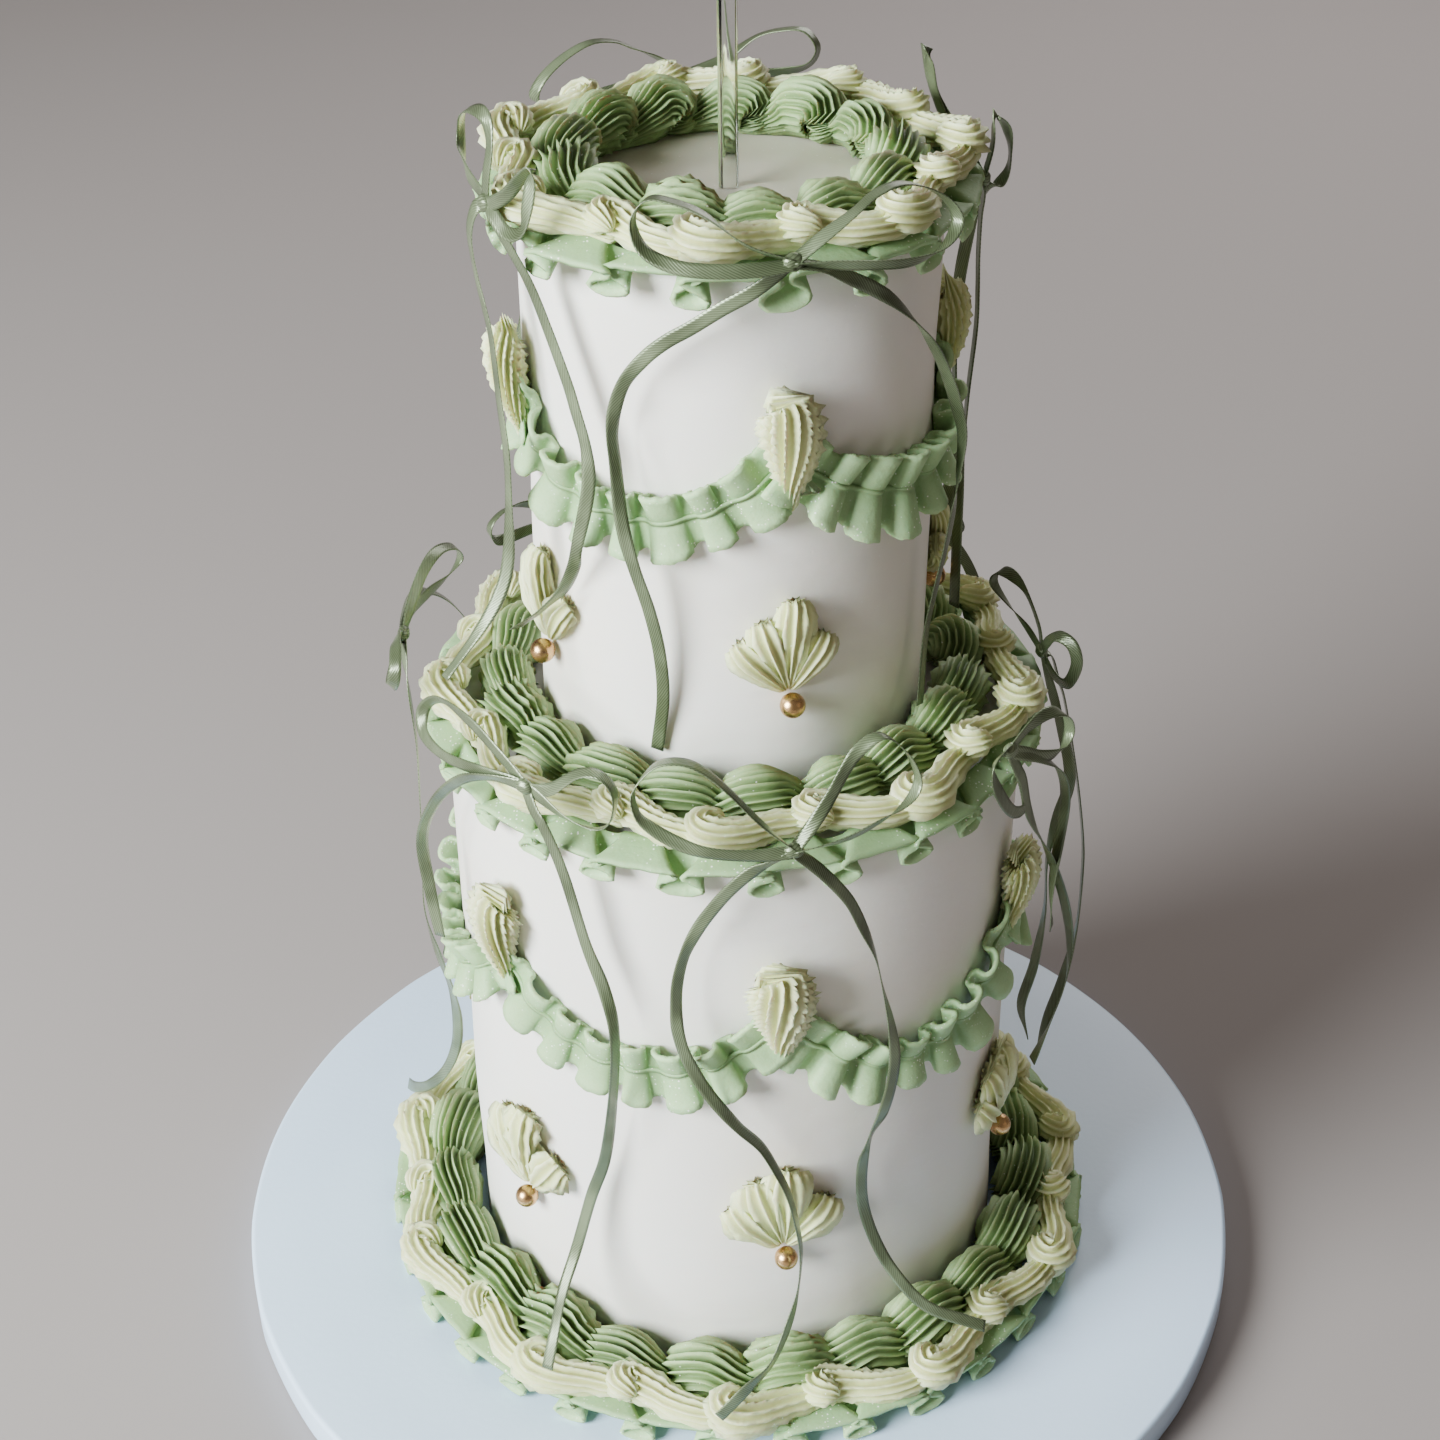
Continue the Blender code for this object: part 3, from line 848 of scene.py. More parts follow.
@dataclass(frozen=True)
class Frill:
    """A thin band of icing that stands on a root line and waves along its free edge.

    Sizes are in millimetres. The pinch is the share of the waves that the root already has, the lip
    is how far a raised line stands out along the root, and the tongue is the share of the reach
    that the hollows between the waves fall back.
    """

    waves: int
    reach: float
    lift: float
    wave: RolledWave
    pinch: float = 0.0
    lip: float = 0.0
    thick: float = 1.2
    power: float = 0.55
    tongue: float = 0.25
    uneven: float = 0.22
    ragged: float = 0.22
    steps: int = 26
    rows: int = 7

    def build(self, name: str, root: Callable[[Array], tuple[Array, Array, Array, Array]],
              finish: bpy.types.Material, seed: int,
              fullness: Callable[[Array], Array] | None = None) -> bpy.types.Object:
        """Makes the frill all the way round.

        Args:
            name: The piece's name.
            root: Gives, for turns in radians, the root points and the along, reach and lift
                directions, each one to a row.
            finish: Its material.
            seed: Draws the unevenness.
            fullness: Factor on the waves by turn.

        Returns:
            The object.
        """
        bm = bmesh.new()
        bmesh.ops.create_grid(bm, x_segments=self.waves * self.steps, y_segments=self.rows,
                              size=0.5)
        mesh = bpy.data.meshes.new(name)
        bm.to_mesh(mesh)
        places = places_of(mesh) + 0.5
        moved, ridge = self.shape(places[:, 0], places[:, 1], root, seed, fullness)
        mesh.vertices.foreach_set("co", moved.ravel())
        layer = mesh.attributes.new("ridge", "FLOAT", "POINT")
        layer.data.foreach_set("value", ridge)
        mesh.update()
        bm.clear()
        bm.from_mesh(mesh)
        bmesh.ops.remove_doubles(bm, verts=bm.verts, dist=FRILL_MERGE)
        bm.to_mesh(mesh)
        bm.free()
        piece = finished(name, mesh, finish)
        wall = piece.modifiers.new("thickness", "SOLIDIFY")
        wall.thickness = self.thick * MM
        wall.offset = 0
        return piece

    def shape(self, share: Array, row: Array, root: Callable, seed: int,
              fullness: Callable[[Array], Array] | None) -> tuple[Array, Array]:
        """Finds the places of the frill's vertices.

        Args:
            share: Places round the cake, 0 to 1.
            row: Places from the root to the free edge, 0 to 1.
            root: The root function.
            seed: Draws the unevenness.
            fullness: Factor on the waves by turn.

        Returns:
            World places, and a ridge value that paints shade low on the frill and light towards its
            free edge and the tops of its waves.
        """
        draws = np.random.default_rng(seed).uniform(-1, 1, (6, self.waves))
        turn = share * 2 * math.pi
        phase = share * self.waves
        index = np.floor(phase).astype(int) % self.waves
        blend = 0.5 - 0.5 * np.cos(math.pi * (phase - np.floor(phase)))

        def uneven(which: int) -> Array:
            """One random value that changes smoothly from wave to wave."""
            values = draws[which]
            return values[index] * (1 - blend) + values[(index + 1) % self.waves] * blend

        points, along, out, lift = root(turn)
        pitch = 2 * math.pi * np.linalg.norm(points[:, :2], axis=1) / self.waves / MM
        placed = phase + 0.12 * uneven(0)
        level = np.round(row * self.rows).astype(int)
        first = 1 if self.lip else 0
        shift, height = np.zeros(len(row)), np.zeros(len(row))
        for step in range(self.rows + 1):
            here = level == step
            grown = max(step - first, 0) / (self.rows - first)
            amount = self.pinch + (1 - self.pinch) * grown**self.power
            shift[here], height[here] = self.wave.line(placed[here], amount)
        full = fullness(turn) if fullness else 1.0
        height = height / self.wave.top()
        sway = shift * pitch * (1 - 0.3 * self.uneven * np.abs(uneven(1))) * full
        rise = self.lift * height * (1 + self.uneven * uneven(2)) * full
        free = np.maximum(level - first, 0) / (self.rows - first)
        torn = (np.sin(4 * math.pi * 3 * phase + 5 * uneven(4)) * uneven(5)
                + 0.6 * np.sin(2 * math.pi * 17 * phase)) * self.ragged * free**4
        tongue = 1 - self.tongue * (1 - np.sqrt(np.clip(height, 0, 1)))
        reach = self.reach * (1 + 0.5 * self.uneven * uneven(3)) * free * tongue + torn
        rise = rise + np.where(level < first, self.lip, 0.0)
        moved = points + MM * (out * reach[:, None] + lift * rise[:, None])
        wider = np.linalg.norm(moved[:, :2], axis=1) / np.linalg.norm(points[:, :2], axis=1)
        moved = moved + MM * along * (sway * wider)[:, None]
        # Painted light and shade: darker at the root and low in each wave, lighter towards the free
        # edge and the tops of the waves.
        ridge = 0.2 + 0.8 * np.clip(0.45 * free + 0.55 * height, 0, 1)
        return moved, ridge


@dataclass(frozen=True)
class RibbonRun:
    """A run of satin ribbon through points given as (azimuth, height above board, radius, lay)."""

    rows: tuple[tuple[float, float, float, float], ...]
    width: float = 3.4
    thick: float = 0.28

    def shape(self, turn: float) -> tuple[Array, Array]:
        """Places the run.

        Args:
            turn: Azimuth added to every point.

        Returns:
            The middle line and the half-width vectors, one to a row, in metres.
        """
        rows = np.asarray(self.rows, float)
        fine = catmull(rows, np.linspace(0, 1, 9 * (len(rows) - 1) + 1))
        azimuth = np.radians(turn + fine[:, 0])
        radius = fine[:, 2] * MM
        line = np.stack([radius * np.sin(azimuth), -radius * np.cos(azimuth),
                         BOARD_TOP + fine[:, 1] * MM], axis=1)
        along = unit(np.gradient(line, axis=0))
        out = np.stack([np.sin(azimuth), -np.cos(azimuth), 0 * azimuth], axis=1)
        face = unit(out - along * np.sum(out * along, axis=1, keepdims=True))
        flat = np.cross(along, face)
        lay = np.radians(fine[:, 3])[:, None]
        return line, (flat * np.cos(lay) + face * np.sin(lay)) * self.width / 2 * MM


# ---------------------------------------------------------------------------- parts of the cake


@dataclass
class Board:
    """The covered drum board."""

    radius: float = BOARD_RADIUS
    thickness: float = BOARD_TOP
    edge: float = 0.0016
    ripple: float = 0.00018
    steps: int = 256

    def build(self, finishes: Finishes) -> list[bpy.types.Object]:
        """Makes the board.

        Args:
            finishes: The cake's finishes.

        Returns:
            The pieces.
        """
        top = shoulder(self.radius, self.thickness, self.edge)
        foot = [(self.radius - self.edge + self.edge * math.cos(a),
                 self.edge - self.edge * math.sin(a)) for a in QUARTER_TURN]
        flats = [(self.radius * k / 8, self.thickness) for k in range(8)]
        profile = [*flats, *top, *foot, (self.radius * 0.5, 0.0), (0.0, 0.0)]
        piece = turned("board_drum", profile, self.steps, finishes.board, self.settle)
        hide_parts("cake_board")
        return [piece]

    def settle(self, places: Array) -> Array:
        """Lets the covering's rim vary by a fraction of a millimetre.

        Args:
            places: Vertices, one to a row.

        Returns:
            The moved vertices.
        """
        turn = np.arctan2(places[:, 1], places[:, 0])
        reach = np.linalg.norm(places[:, :2], axis=1) / self.radius
        ripple = self.ripple * (np.sin(9 * turn) + np.sin(14 * turn + 1)) * reach**6
        places[:, :2] *= 1 - np.abs(ripple)[:, None] / self.radius
        return places


@dataclass
class Tier:
    """One tier of cake under its smoothed icing."""

    name: str
    node: str
    radius: float
    bottom: float
    top: float
    seed: int
    edge: float = 0.004
    steps: int = 200
    rows: int = 30

    def build(self, finishes: Finishes) -> list[bpy.types.Object]:
        """Makes the tier.

        Args:
            finishes: The cake's finishes.

        Returns:
            The pieces.
        """
        crown = shoulder(self.radius, self.top, self.edge)
        flats = [(self.radius * k / 12, self.top) for k in range(11)]
        tall = self.top - self.edge - self.bottom
        wall = [(self.radius, self.bottom + tall * (1 - k / self.rows))
                for k in range(1, self.rows + 1)]
        profile = [*flats, *crown, *wall, (0.0, self.bottom)]
        piece = turned(self.name, profile, self.steps, finishes.wall, self.scrape)
        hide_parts(self.node)
        return [piece]

    def scrape(self, places: Array) -> Array:
        """Leaves the shallow waves and drags of a scraper in the icing.

        Args:
            places: Vertices, one to a row.

        Returns:
            The moved vertices.
        """
        rng = np.random.default_rng(self.seed)
        turn = np.arctan2(places[:, 1], places[:, 0])
        height = (places[:, 2] - self.bottom) / (self.top - self.bottom)
        depth = np.zeros(len(places))
        for _ in range(14):
            round_count, tall_rate = rng.integers(1, 9), rng.uniform(0.5, 7)
            phase, size = rng.uniform(0, 2 * math.pi), rng.uniform(0.00003, 0.00011)
            depth += size * np.sin(round_count * turn + tall_rate * height * math.pi + phase)
        reach = np.linalg.norm(places[:, :2], axis=1)
        on_wall = np.clip((reach / self.radius - 0.9) * 20, 0, 1)
        places[:, :2] *= (1 + depth * on_wall / self.radius)[:, None]
        swirl = 0.0003 * np.sin(3 * turn + reach * 220) * np.clip(1 - on_wall, 0, 1)
        places[:, 2] += np.where(height > 0.98, swirl, 0)
        return places


@dataclass
class ScallopBorder:
    """A ring of ridged green scallops, each one's tail tucked under the next one's head."""

    level: str
    radius: float
    surface: float
    count: int
    width: float
    height: float
    start: float
    seed: int
    lean: float = 0.0
    ridges: int = 23
    sides: int = 104
    rings: int = 24

    def build(self, finishes: Finishes) -> list[bpy.types.Object]:
        """Makes the ring.

        Args:
            finishes: The cake's finishes.

        Returns:
            The pieces.
        """
        rng = np.random.default_rng(self.seed)
        blank = Blank(self.sides, self.rings)
        pitch = 2 * math.pi * self.radius / self.count / MM
        batch = Batch(f"scallops_{self.level}")
        for index in range(self.count):
            size = rng.uniform(0.91, 1.08)
            half, tall = self.width / 2 * size, self.height * size
            shift = rng.uniform(-0.8, 0.8)
            rows = (
                (0.24 * pitch, shift - 1.2, 0.08 * tall, 0.36 * half, 0.20 * tall),
                (0.03 * pitch, shift - 0.6, 0.22 * tall, 0.76 * half, 0.39 * tall),
                (0.06 * pitch, shift, 0.43 * tall, 1.02 * half, 0.55 * tall),
                (0.28 * pitch, shift, 0.47 * tall, 1.05 * half, 0.56 * tall),
                (0.54 * pitch, -shift, 0.37 * tall, 0.86 * half, 0.45 * tall),
                (0.80 * pitch, -shift, 0.23 * tall, 0.58 * half, 0.30 * tall),
                (1.06 * pitch, 0, 0.12 * tall, 0.34 * half, 0.18 * tall),
                (1.26 * pitch, 0, 0.06 * tall, 0.18 * half, 0.10 * tall),
            )
            nozzle = Nozzle(self.ridges, 0.36, tear=0.035, lean=0.12, sharp=0.64)
            stroke = Stroke(rows, nozzle, twist=rng.uniform(-0.15, 0.45), dense=0.5)
            places, ridge = stroke.shape(blank, rng)
            yaw = rng.uniform(-0.12, 0.12)
            places = places @ np.asarray(Matrix.Rotation(yaw, 3, "Z"))
            places[:, 1] -= self.lean * places[:, 2]
            places[:, 2] = np.maximum(places[:, 2], -RING_SINK)
            azimuth = self.start + (index + rng.uniform(-0.07, 0.07)) * 360 / self.count
            batch.add(blank.mesh, wrap(places, self.radius, azimuth, self.surface), ridge)
        piece = batch.build(finishes.scallop)
        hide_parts(f"scallop_border_{self.level}")
        return [piece]


@dataclass
class CurlGarland:
    """A cream rope of curls that roll in and out by turns."""

    level: str
    radius: float
    surface: float
    lift: float
    curls: int
    tube: float
    start: float
    seed: int
    ridges: int = 13
    sides: int = 60
    rings: int = 36

    def rows(self, pitch: float, roll: Roll, size: float) -> tuple[tuple[float, ...], ...]:
        """Control points of one curl and its tail.

        Args:
            pitch: Distance to the next curl, in millimetres.
            roll: Which way it turns.
            size: Factor on the curl's size.

        Returns:
            The stroke's rows.
        """
        d, r = roll.value, self.tube * size
        # (along, towards the roll, up, factor on the tube's radius); the tail's along in pitches.
        turn = ((2.4, -1.6, 1.4, 0.40), (0.4, -0.9, 2.7, 0.72), (-2.0, 0.4, 3.1, 0.98),
                (-2.8, 2.6, 2.5, 1.16), (-0.8, 4.2, 1.8, 1.20), (2.4, 4.0, 1.3, 1.14))
        curl = [(s * size, d * q * size, h, r * w, r * w) for s, q, h, w in turn]
        tail = ((0.26, 2.2, 0.7, 1.04), (0.42, 0.0, 0.3, 0.98), (0.60, -1.7, 0.0, 0.94),
                (0.80, -2.6, -0.5, 0.84), (0.98, -2.4, -1.1, 0.66), (1.12, -1.6, -1.8, 0.42))
        sweep = [(x * pitch, d * q, h, r * w, r * w) for x, q, h, w in tail]
        return (*curl, *sweep)

    def build(self, finishes: Finishes) -> list[bpy.types.Object]:
        """Makes the garland.

        Args:
            finishes: The cake's finishes.

        Returns:
            The pieces.
        """
        rng = np.random.default_rng(self.seed)
        blank = Blank(self.sides, self.rings)
        pitch = 2 * math.pi * self.radius / self.curls / MM
        batch = Batch(f"garland_curls_{self.level}")
        for index in range(self.curls):
            roll = Roll.OUTWARD if index % 2 == 0 else Roll.INWARD
            size = rng.uniform(0.90, 1.10)
            nozzle = Nozzle(self.ridges, 0.36, tear=0.05, lean=0.14)
            stroke = Stroke(self.rows(pitch, roll, size), nozzle,
                            twist=roll.value * rng.uniform(0.5, 1.3), blunt=0.12, tip=0.04)
            places, ridge = stroke.shape(blank, rng)
            azimuth = self.start + (index + rng.uniform(-0.08, 0.08)) * 360 / self.curls
            height = self.surface + (self.lift + rng.uniform(-0.4, 0.4)) * MM
            batch.add(blank.mesh, wrap(places, self.radius, azimuth, height), ridge)
        piece = batch.build(finishes.cream)
        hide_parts(f"garland_{self.level}")
        return [piece]


@dataclass
class UnderRuffle:
    """The green frill that looks out under a garland, rolled into small tubes."""

    level: str
    radius: float
    surface: float
    root_height: float
    frill: Frill
    droop: float
    start: float
    seed: int

    def build(self, finishes: Finishes) -> list[bpy.types.Object]:
        """Makes the ruffle.

        Args:
            finishes: The cake's finishes.

        Returns:
            The pieces.
        """
        slope = math.radians(self.droop)

        def root(turn: Array) -> tuple[Array, Array, Array, Array]:
            """Finds the root line.

            Args:
                turn: Azimuths in radians.

            Returns:
                The points and the along, reach and lift directions, each one to a row.
            """
            turn = turn + math.radians(self.start)
            sine, cosine, zero = np.sin(turn), np.cos(turn), 0 * turn
            points = np.stack([self.radius * sine, -self.radius * cosine,
                               zero + self.surface + self.root_height * MM], axis=1)
            along = np.stack([cosine, sine, zero], axis=1)
            out = np.stack([sine * math.cos(slope), -cosine * math.cos(slope),
                            zero - math.sin(slope)], axis=1)
            side = np.stack([-sine * math.sin(slope), cosine * math.sin(slope),
                             zero - math.cos(slope)], axis=1)
            return points, along, out, side

        piece = self.frill.build(f"under_ruffle_{self.level}", root, finishes.frill, self.seed)
        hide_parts(f"ruffle_{self.level}")
        return [piece]


@dataclass
class RuffledSwag:
    """A double ruffle hung in loops round a tier.

    Curled lobes stand over a seam, and a pleated skirt hangs under it.
    """

    level: str
    radius: float
    joints: tuple[float, ...]
    top: float
    drops: tuple[float, ...]
    lobes: Frill
    skirt: Frill
    seed: int

    def seam(self, turn: Array) -> tuple[Array, Array]:
        """Height of the seam and distance to the nearest joint.

        Args:
            turn: Azimuths in radians.

        Returns:
            Heights in metres and distances in metres.
        """
        joints = np.array(self.joints)
        here = (np.degrees(turn) - joints[0]) % 360 + joints[0]
        index = np.searchsorted(joints, here, side="right") - 1
        after = np.append(joints[1:], joints[0] + 360)[index]
        share = (here - joints[index]) / (after - joints[index])
        drop = np.array(self.drops)[index]
        height = self.top - drop * (1 - np.abs(2 * share - 1) ** 2.2)
        near = np.minimum(here - joints[index], after - here)
        return height, np.radians(near) * self.radius

    def frame(self, side: float) -> Callable[[Array], tuple[Array, Array, Array, Array]]:
        """The root function of a frill over or under the seam.

        Args:
            side: 1 for the lobes over the seam, -1 for the skirt under it.

        Returns:
            The root function.
        """

        def root(turn: Array) -> tuple[Array, Array, Array, Array]:
            """Finds the root line.

            Args:
                turn: Azimuths in radians.

            Returns:
                The points and the along, reach and lift directions, each one to a row.
            """
            height, _ = self.seam(turn)
            climb = self.seam(turn + SLOPE_STEP)[0] - self.seam(turn - SLOPE_STEP)[0]
            slope = climb / (2 * SLOPE_STEP * self.radius)
            reach = self.radius + SEAM_STAND
            sine, cosine, zero = np.sin(turn), np.cos(turn), 0 * turn
            points = np.stack([reach * sine, -reach * cosine, height], axis=1)
            level = np.stack([cosine, sine, zero], axis=1)
            rise = np.stack([zero, zero, zero + 1], axis=1)
            along = unit(level + rise * slope[:, None])
            across = unit(rise - level * slope[:, None]) * side
            out = np.stack([sine, -cosine, zero], axis=1)
            return points, along, across, out

        return root

    def fullness(self, turn: Array) -> Array:
        """Calms the ruffles where a drop covers the joint."""
        _, near = self.seam(turn)
        return 0.55 + 0.45 * np.clip((near - 0.006) / 0.004, 0, 1)

    def build(self, finishes: Finishes) -> list[bpy.types.Object]:
        """Makes the swags.

        Args:
            finishes: The cake's finishes.

        Returns:
            The pieces.
        """
        pieces = [
            self.skirt.build(f"swag_skirt_{self.level}", self.frame(-1), finishes.frill, self.seed,
                             self.fullness),
            self.lobes.build(f"swag_lobes_{self.level}", self.frame(1), finishes.frill,
                             self.seed, self.fullness),
        ]
        for piece in pieces:
            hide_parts(f"swag_{self.level}")
        return pieces


@dataclass
class WallDrops:
    """Cream drops piped down the wall over the joints of the swags."""

    level: str
    radius: float
    azimuths: tuple[float, ...]
    tops: tuple[float, ...]
    length: float
    width: float
    height: float
    seed: int
    ridges: int = 16
    sides: int = 80
    rings: int = 36

    def build(self, finishes: Finishes) -> list[bpy.types.Object]:
        """Makes the drops.

        Args:
            finishes: The cake's finishes.

        Returns:
            The pieces.
        """
        rng = np.random.default_rng(self.seed)
        blank = Blank(self.sides, self.rings)
        pieces = []
        for index, azimuth in enumerate(self.azimuths):
            n, w, h = self.length, self.width / 2, self.height * rng.uniform(0.92, 1.08)
            hand = 1 if rng.random() < 0.3 else -1
            rows = (
                (hand * 1.8, 0.30 * h, -0.10 * n, 0.62 * w, 0.34 * h),
                (hand * 1.5, 0.44 * h, -0.06 * n, 0.86 * w, 0.48 * h),
                (hand * 0.8, 0.50 * h, -0.18 * n, 1.02 * w, 0.55 * h),
                (0.0, 0.46 * h, -0.36 * n, 0.94 * w, 0.52 * h),
                (-hand * 0.3, 0.36 * h, -0.56 * n, 0.72 * w, 0.42 * h),
                (-hand * 0.1, 0.24 * h, -0.77 * n, 0.42 * w, 0.28 * h),
                (0.3, 0.12 * h, -1.0 * n, 0.12 * w, 0.10 * h),
            )
            stroke = Stroke(rows, Nozzle(self.ridges, 0.46, tear=0.025, lean=0.2),
                            twist=hand * rng.uniform(-1.4, -0.8), blunt=0.19, tip=0.05)
            places, ridge = stroke.shape(blank, rng, up=(0, 1, 0))
            places[:, 1] = np.maximum(places[:, 1], -WALL_SINK)
            batch = Batch(f"wall_drop_{self.level}_{index}")
            batch.add(blank.mesh, wrap(places, self.radius, azimuth, self.tops[index]), ridge)
            piece = batch.build(finishes.cream)
            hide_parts(f"drop_{self.level}_{index}")
            pieces.append(piece)
        return pieces


@dataclass
class PearlFans:
    """Cream fans of four ridged petals, with a gold pearl at each foot.

    A petal is (lean in degrees, factor on the length, factor on the width).
    """

    level: str
    radius: float
    azimuths: tuple[float, ...]
    foot: float
    length: float
    width: float
    height: float
    seed: int
    pearl: float = 0.0033
    ridges: int = 12
    sides: int = 54
    rings: int = 24
    petals: tuple[tuple[float, float, float], ...] = (
        (-38.0, 0.74, 1.15), (34.0, 0.70, 1.15), (-19.0, 0.90, 1.20), (1.0, 1.0, 1.15))

    def build(self, finishes: Finishes) -> list[bpy.types.Object]:
        """Makes the fans and their pearls.

        Args:
            finishes: The cake's finishes.

        Returns:
            The pieces.
        """
        rng = np.random.default_rng(self.seed)
        blank = Blank(self.sides, self.rings)
        pieces = []
        for index, azimuth in enumerate(self.azimuths):
            batch = Batch(f"wall_fan_{self.level}_{index}")
            for lean, size, broad in self.petals:
                size = size * rng.uniform(0.93, 1.05)
                n, w = self.length * size, self.width / 2 * broad
                h = self.height * (0.7 + 0.3 * size)
                rows = (
                    (0.0, 0.16 * h, 0.84 * n, 0.30 * w, 0.20 * h),
                    (0.0, 0.34 * h, 0.95 * n, 0.66 * w, 0.42 * h),
                    (0.0, 0.48 * h, 0.82 * n, 0.86 * w, 0.54 * h),
                    (0.0, 0.46 * h, 0.60 * n, 0.76 * w, 0.52 * h),
                    (0.0, 0.36 * h, 0.34 * n, 0.50 * w, 0.40 * h),
                    (0.0, 0.20 * h, 0.04 * n, 0.20 * w, 0.20 * h),
                )
                stroke = Stroke(rows, Nozzle(self.ridges, 0.46, tear=0.08, lean=0.2),
                                twist=rng.uniform(-0.4, 0.4), blunt=0.12, tip=0.06)
                places, ridge = stroke.shape(blank, rng, up=(0, 1, 0))
                turn = math.radians(lean + rng.uniform(-5, 5))
                side, rise = places[:, 0].copy(), places[:, 2].copy()
                places[:, 0] = side * math.cos(turn) + rise * math.sin(turn)
                places[:, 2] = rise * math.cos(turn) - side * math.sin(turn)
                places[:, 1] = np.maximum(places[:, 1], -WALL_SINK)
                batch.add(blank.mesh, wrap(places, self.radius, azimuth, self.foot), ridge)
            piece = batch.build(finishes.cream)
            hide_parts(f"fan_{self.level}_{index}")
            pieces += [piece, self.pearl_piece(index, azimuth, finishes)]
        return pieces

    def pearl_piece(self, index: int, azimuth: float, finishes: Finishes) -> bpy.types.Object:
        """Makes one pearl.

        Args:
            index: Its number.
            azimuth: Where it sits.
            finishes: The cake's finishes.

        Returns:
            The piece.
        """
        bm = bmesh.new()
        bmesh.ops.create_uvsphere(bm, u_segments=32, v_segments=20, radius=self.pearl)
        local = np.array([[0.0003, self.pearl + 0.0008, -self.pearl + 0.0010]])
        centre = wrap(local, self.radius, azimuth, self.foot)[0]
        bmesh.ops.translate(bm, verts=bm.verts, vec=Vector(centre))
        mesh = baked(f"sugar_pearl_{self.level}_{index}", bm)
        piece = finished(mesh.name, mesh, finishes.pearl)
        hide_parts(f"pearl_{self.level}_{index}")
        return piece


@dataclass(frozen=True)
class BowShape:
    """The runs of a bow and its knot's (radius, height); the knot's azimuth in the runs is home."""

    knot: tuple[float, float]
    runs: tuple[RibbonRun, ...]
    home: float = 0.0


@dataclass
class SatinBow:
    """One tied bow of narrow satin ribbon."""

    node: str
    shape: BowShape
    azimuth: float
    across: int = 4
    knot_size: tuple[float, float, float] = (2.5, 1.7, 2.2)

    def build(self, finishes: Finishes) -> list[bpy.types.Object]:
        """Makes the bow.

        Args:
            finishes: The cake's finishes.

        Returns:
            The pieces.
        """
        bm = bmesh.new()
        layer = bm.loops.layers.uv.new("UVMap")
        for run in self.shape.runs:
            line, half = run.shape(self.azimuth - self.shape.home)
            self.strip(bm, layer, line, half)
        mesh = baked(f"satin_{self.node}", bm)
        ribbon = finished(mesh.name, mesh, finishes.satin)
        wall = ribbon.modifiers.new("thickness", "SOLIDIFY")
        wall.thickness = self.shape.runs[0].thick * MM
        wall.offset = 0
        pieces = [ribbon, self.knot_piece(finishes)]
        for piece in pieces:
            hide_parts(self.node)
        return pieces

    def strip(self, bm: bmesh.types.BMesh, layer: object, line: Array, half: Array) -> None:
        """Adds one ribbon strip from a grid operator.

        Args:
            bm: Where the strip goes.
            layer: The UV layer, in metres along and across.
            line: The middle line.
            half: The half-width vectors.
        """
        last = len(line) - 1
        made = bmesh.ops.create_grid(bm, x_segments=last, y_segments=self.across, size=0.5)
        run = np.concatenate([[0], np.cumsum(np.linalg.norm(np.diff(line, axis=0), axis=1))])
        spots = {}
        for vert in made["verts"]:
            index = round((vert.co.x + 0.5) * last)
            share = vert.co.y * 2
            spots[vert] = (run[index], share * self.shape.runs[0].width / 2 * MM)
            vert.co = Vector(line[index] + half[index] * share)
        for vert in made["verts"]:
            for loop in vert.link_loops:
                loop[layer].uv = spots[vert]

    def knot_piece(self, finishes: Finishes) -> bpy.types.Object:
        """Makes the small wrapped knot.

        Args:
            finishes: The cake's finishes.

        Returns:
            The piece.
        """
        radius, height = self.shape.knot
        bm = bmesh.new()
        bmesh.ops.create_uvsphere(bm, u_segments=28, v_segments=16, radius=1)
        layer = bm.loops.layers.uv.new("UVMap")
        for face in bm.faces:
            for loop in face.loops:
                loop[layer].uv = (loop.vert.co.x * 0.002, loop.vert.co.z * 0.002)
        for vert in bm.verts:
            x, y, z = vert.co
            groove = 1 - 0.10 * math.exp(-((x * 6 - z * 2) ** 2)) - 0.05 * math.cos(9 * z)
            wide, deep, tall = self.knot_size
            local = np.array([[x * wide * groove, y * deep * groove, z * tall]]) * MM
            vert.co = Vector(wrap(local, radius * MM, self.azimuth, BOARD_TOP + height * MM)[0])
        bmesh.ops.recalc_face_normals(bm, faces=bm.faces)
        mesh = baked(f"knot_{self.node}", bm)
        return finished(mesh.name, mesh, finishes.satin)


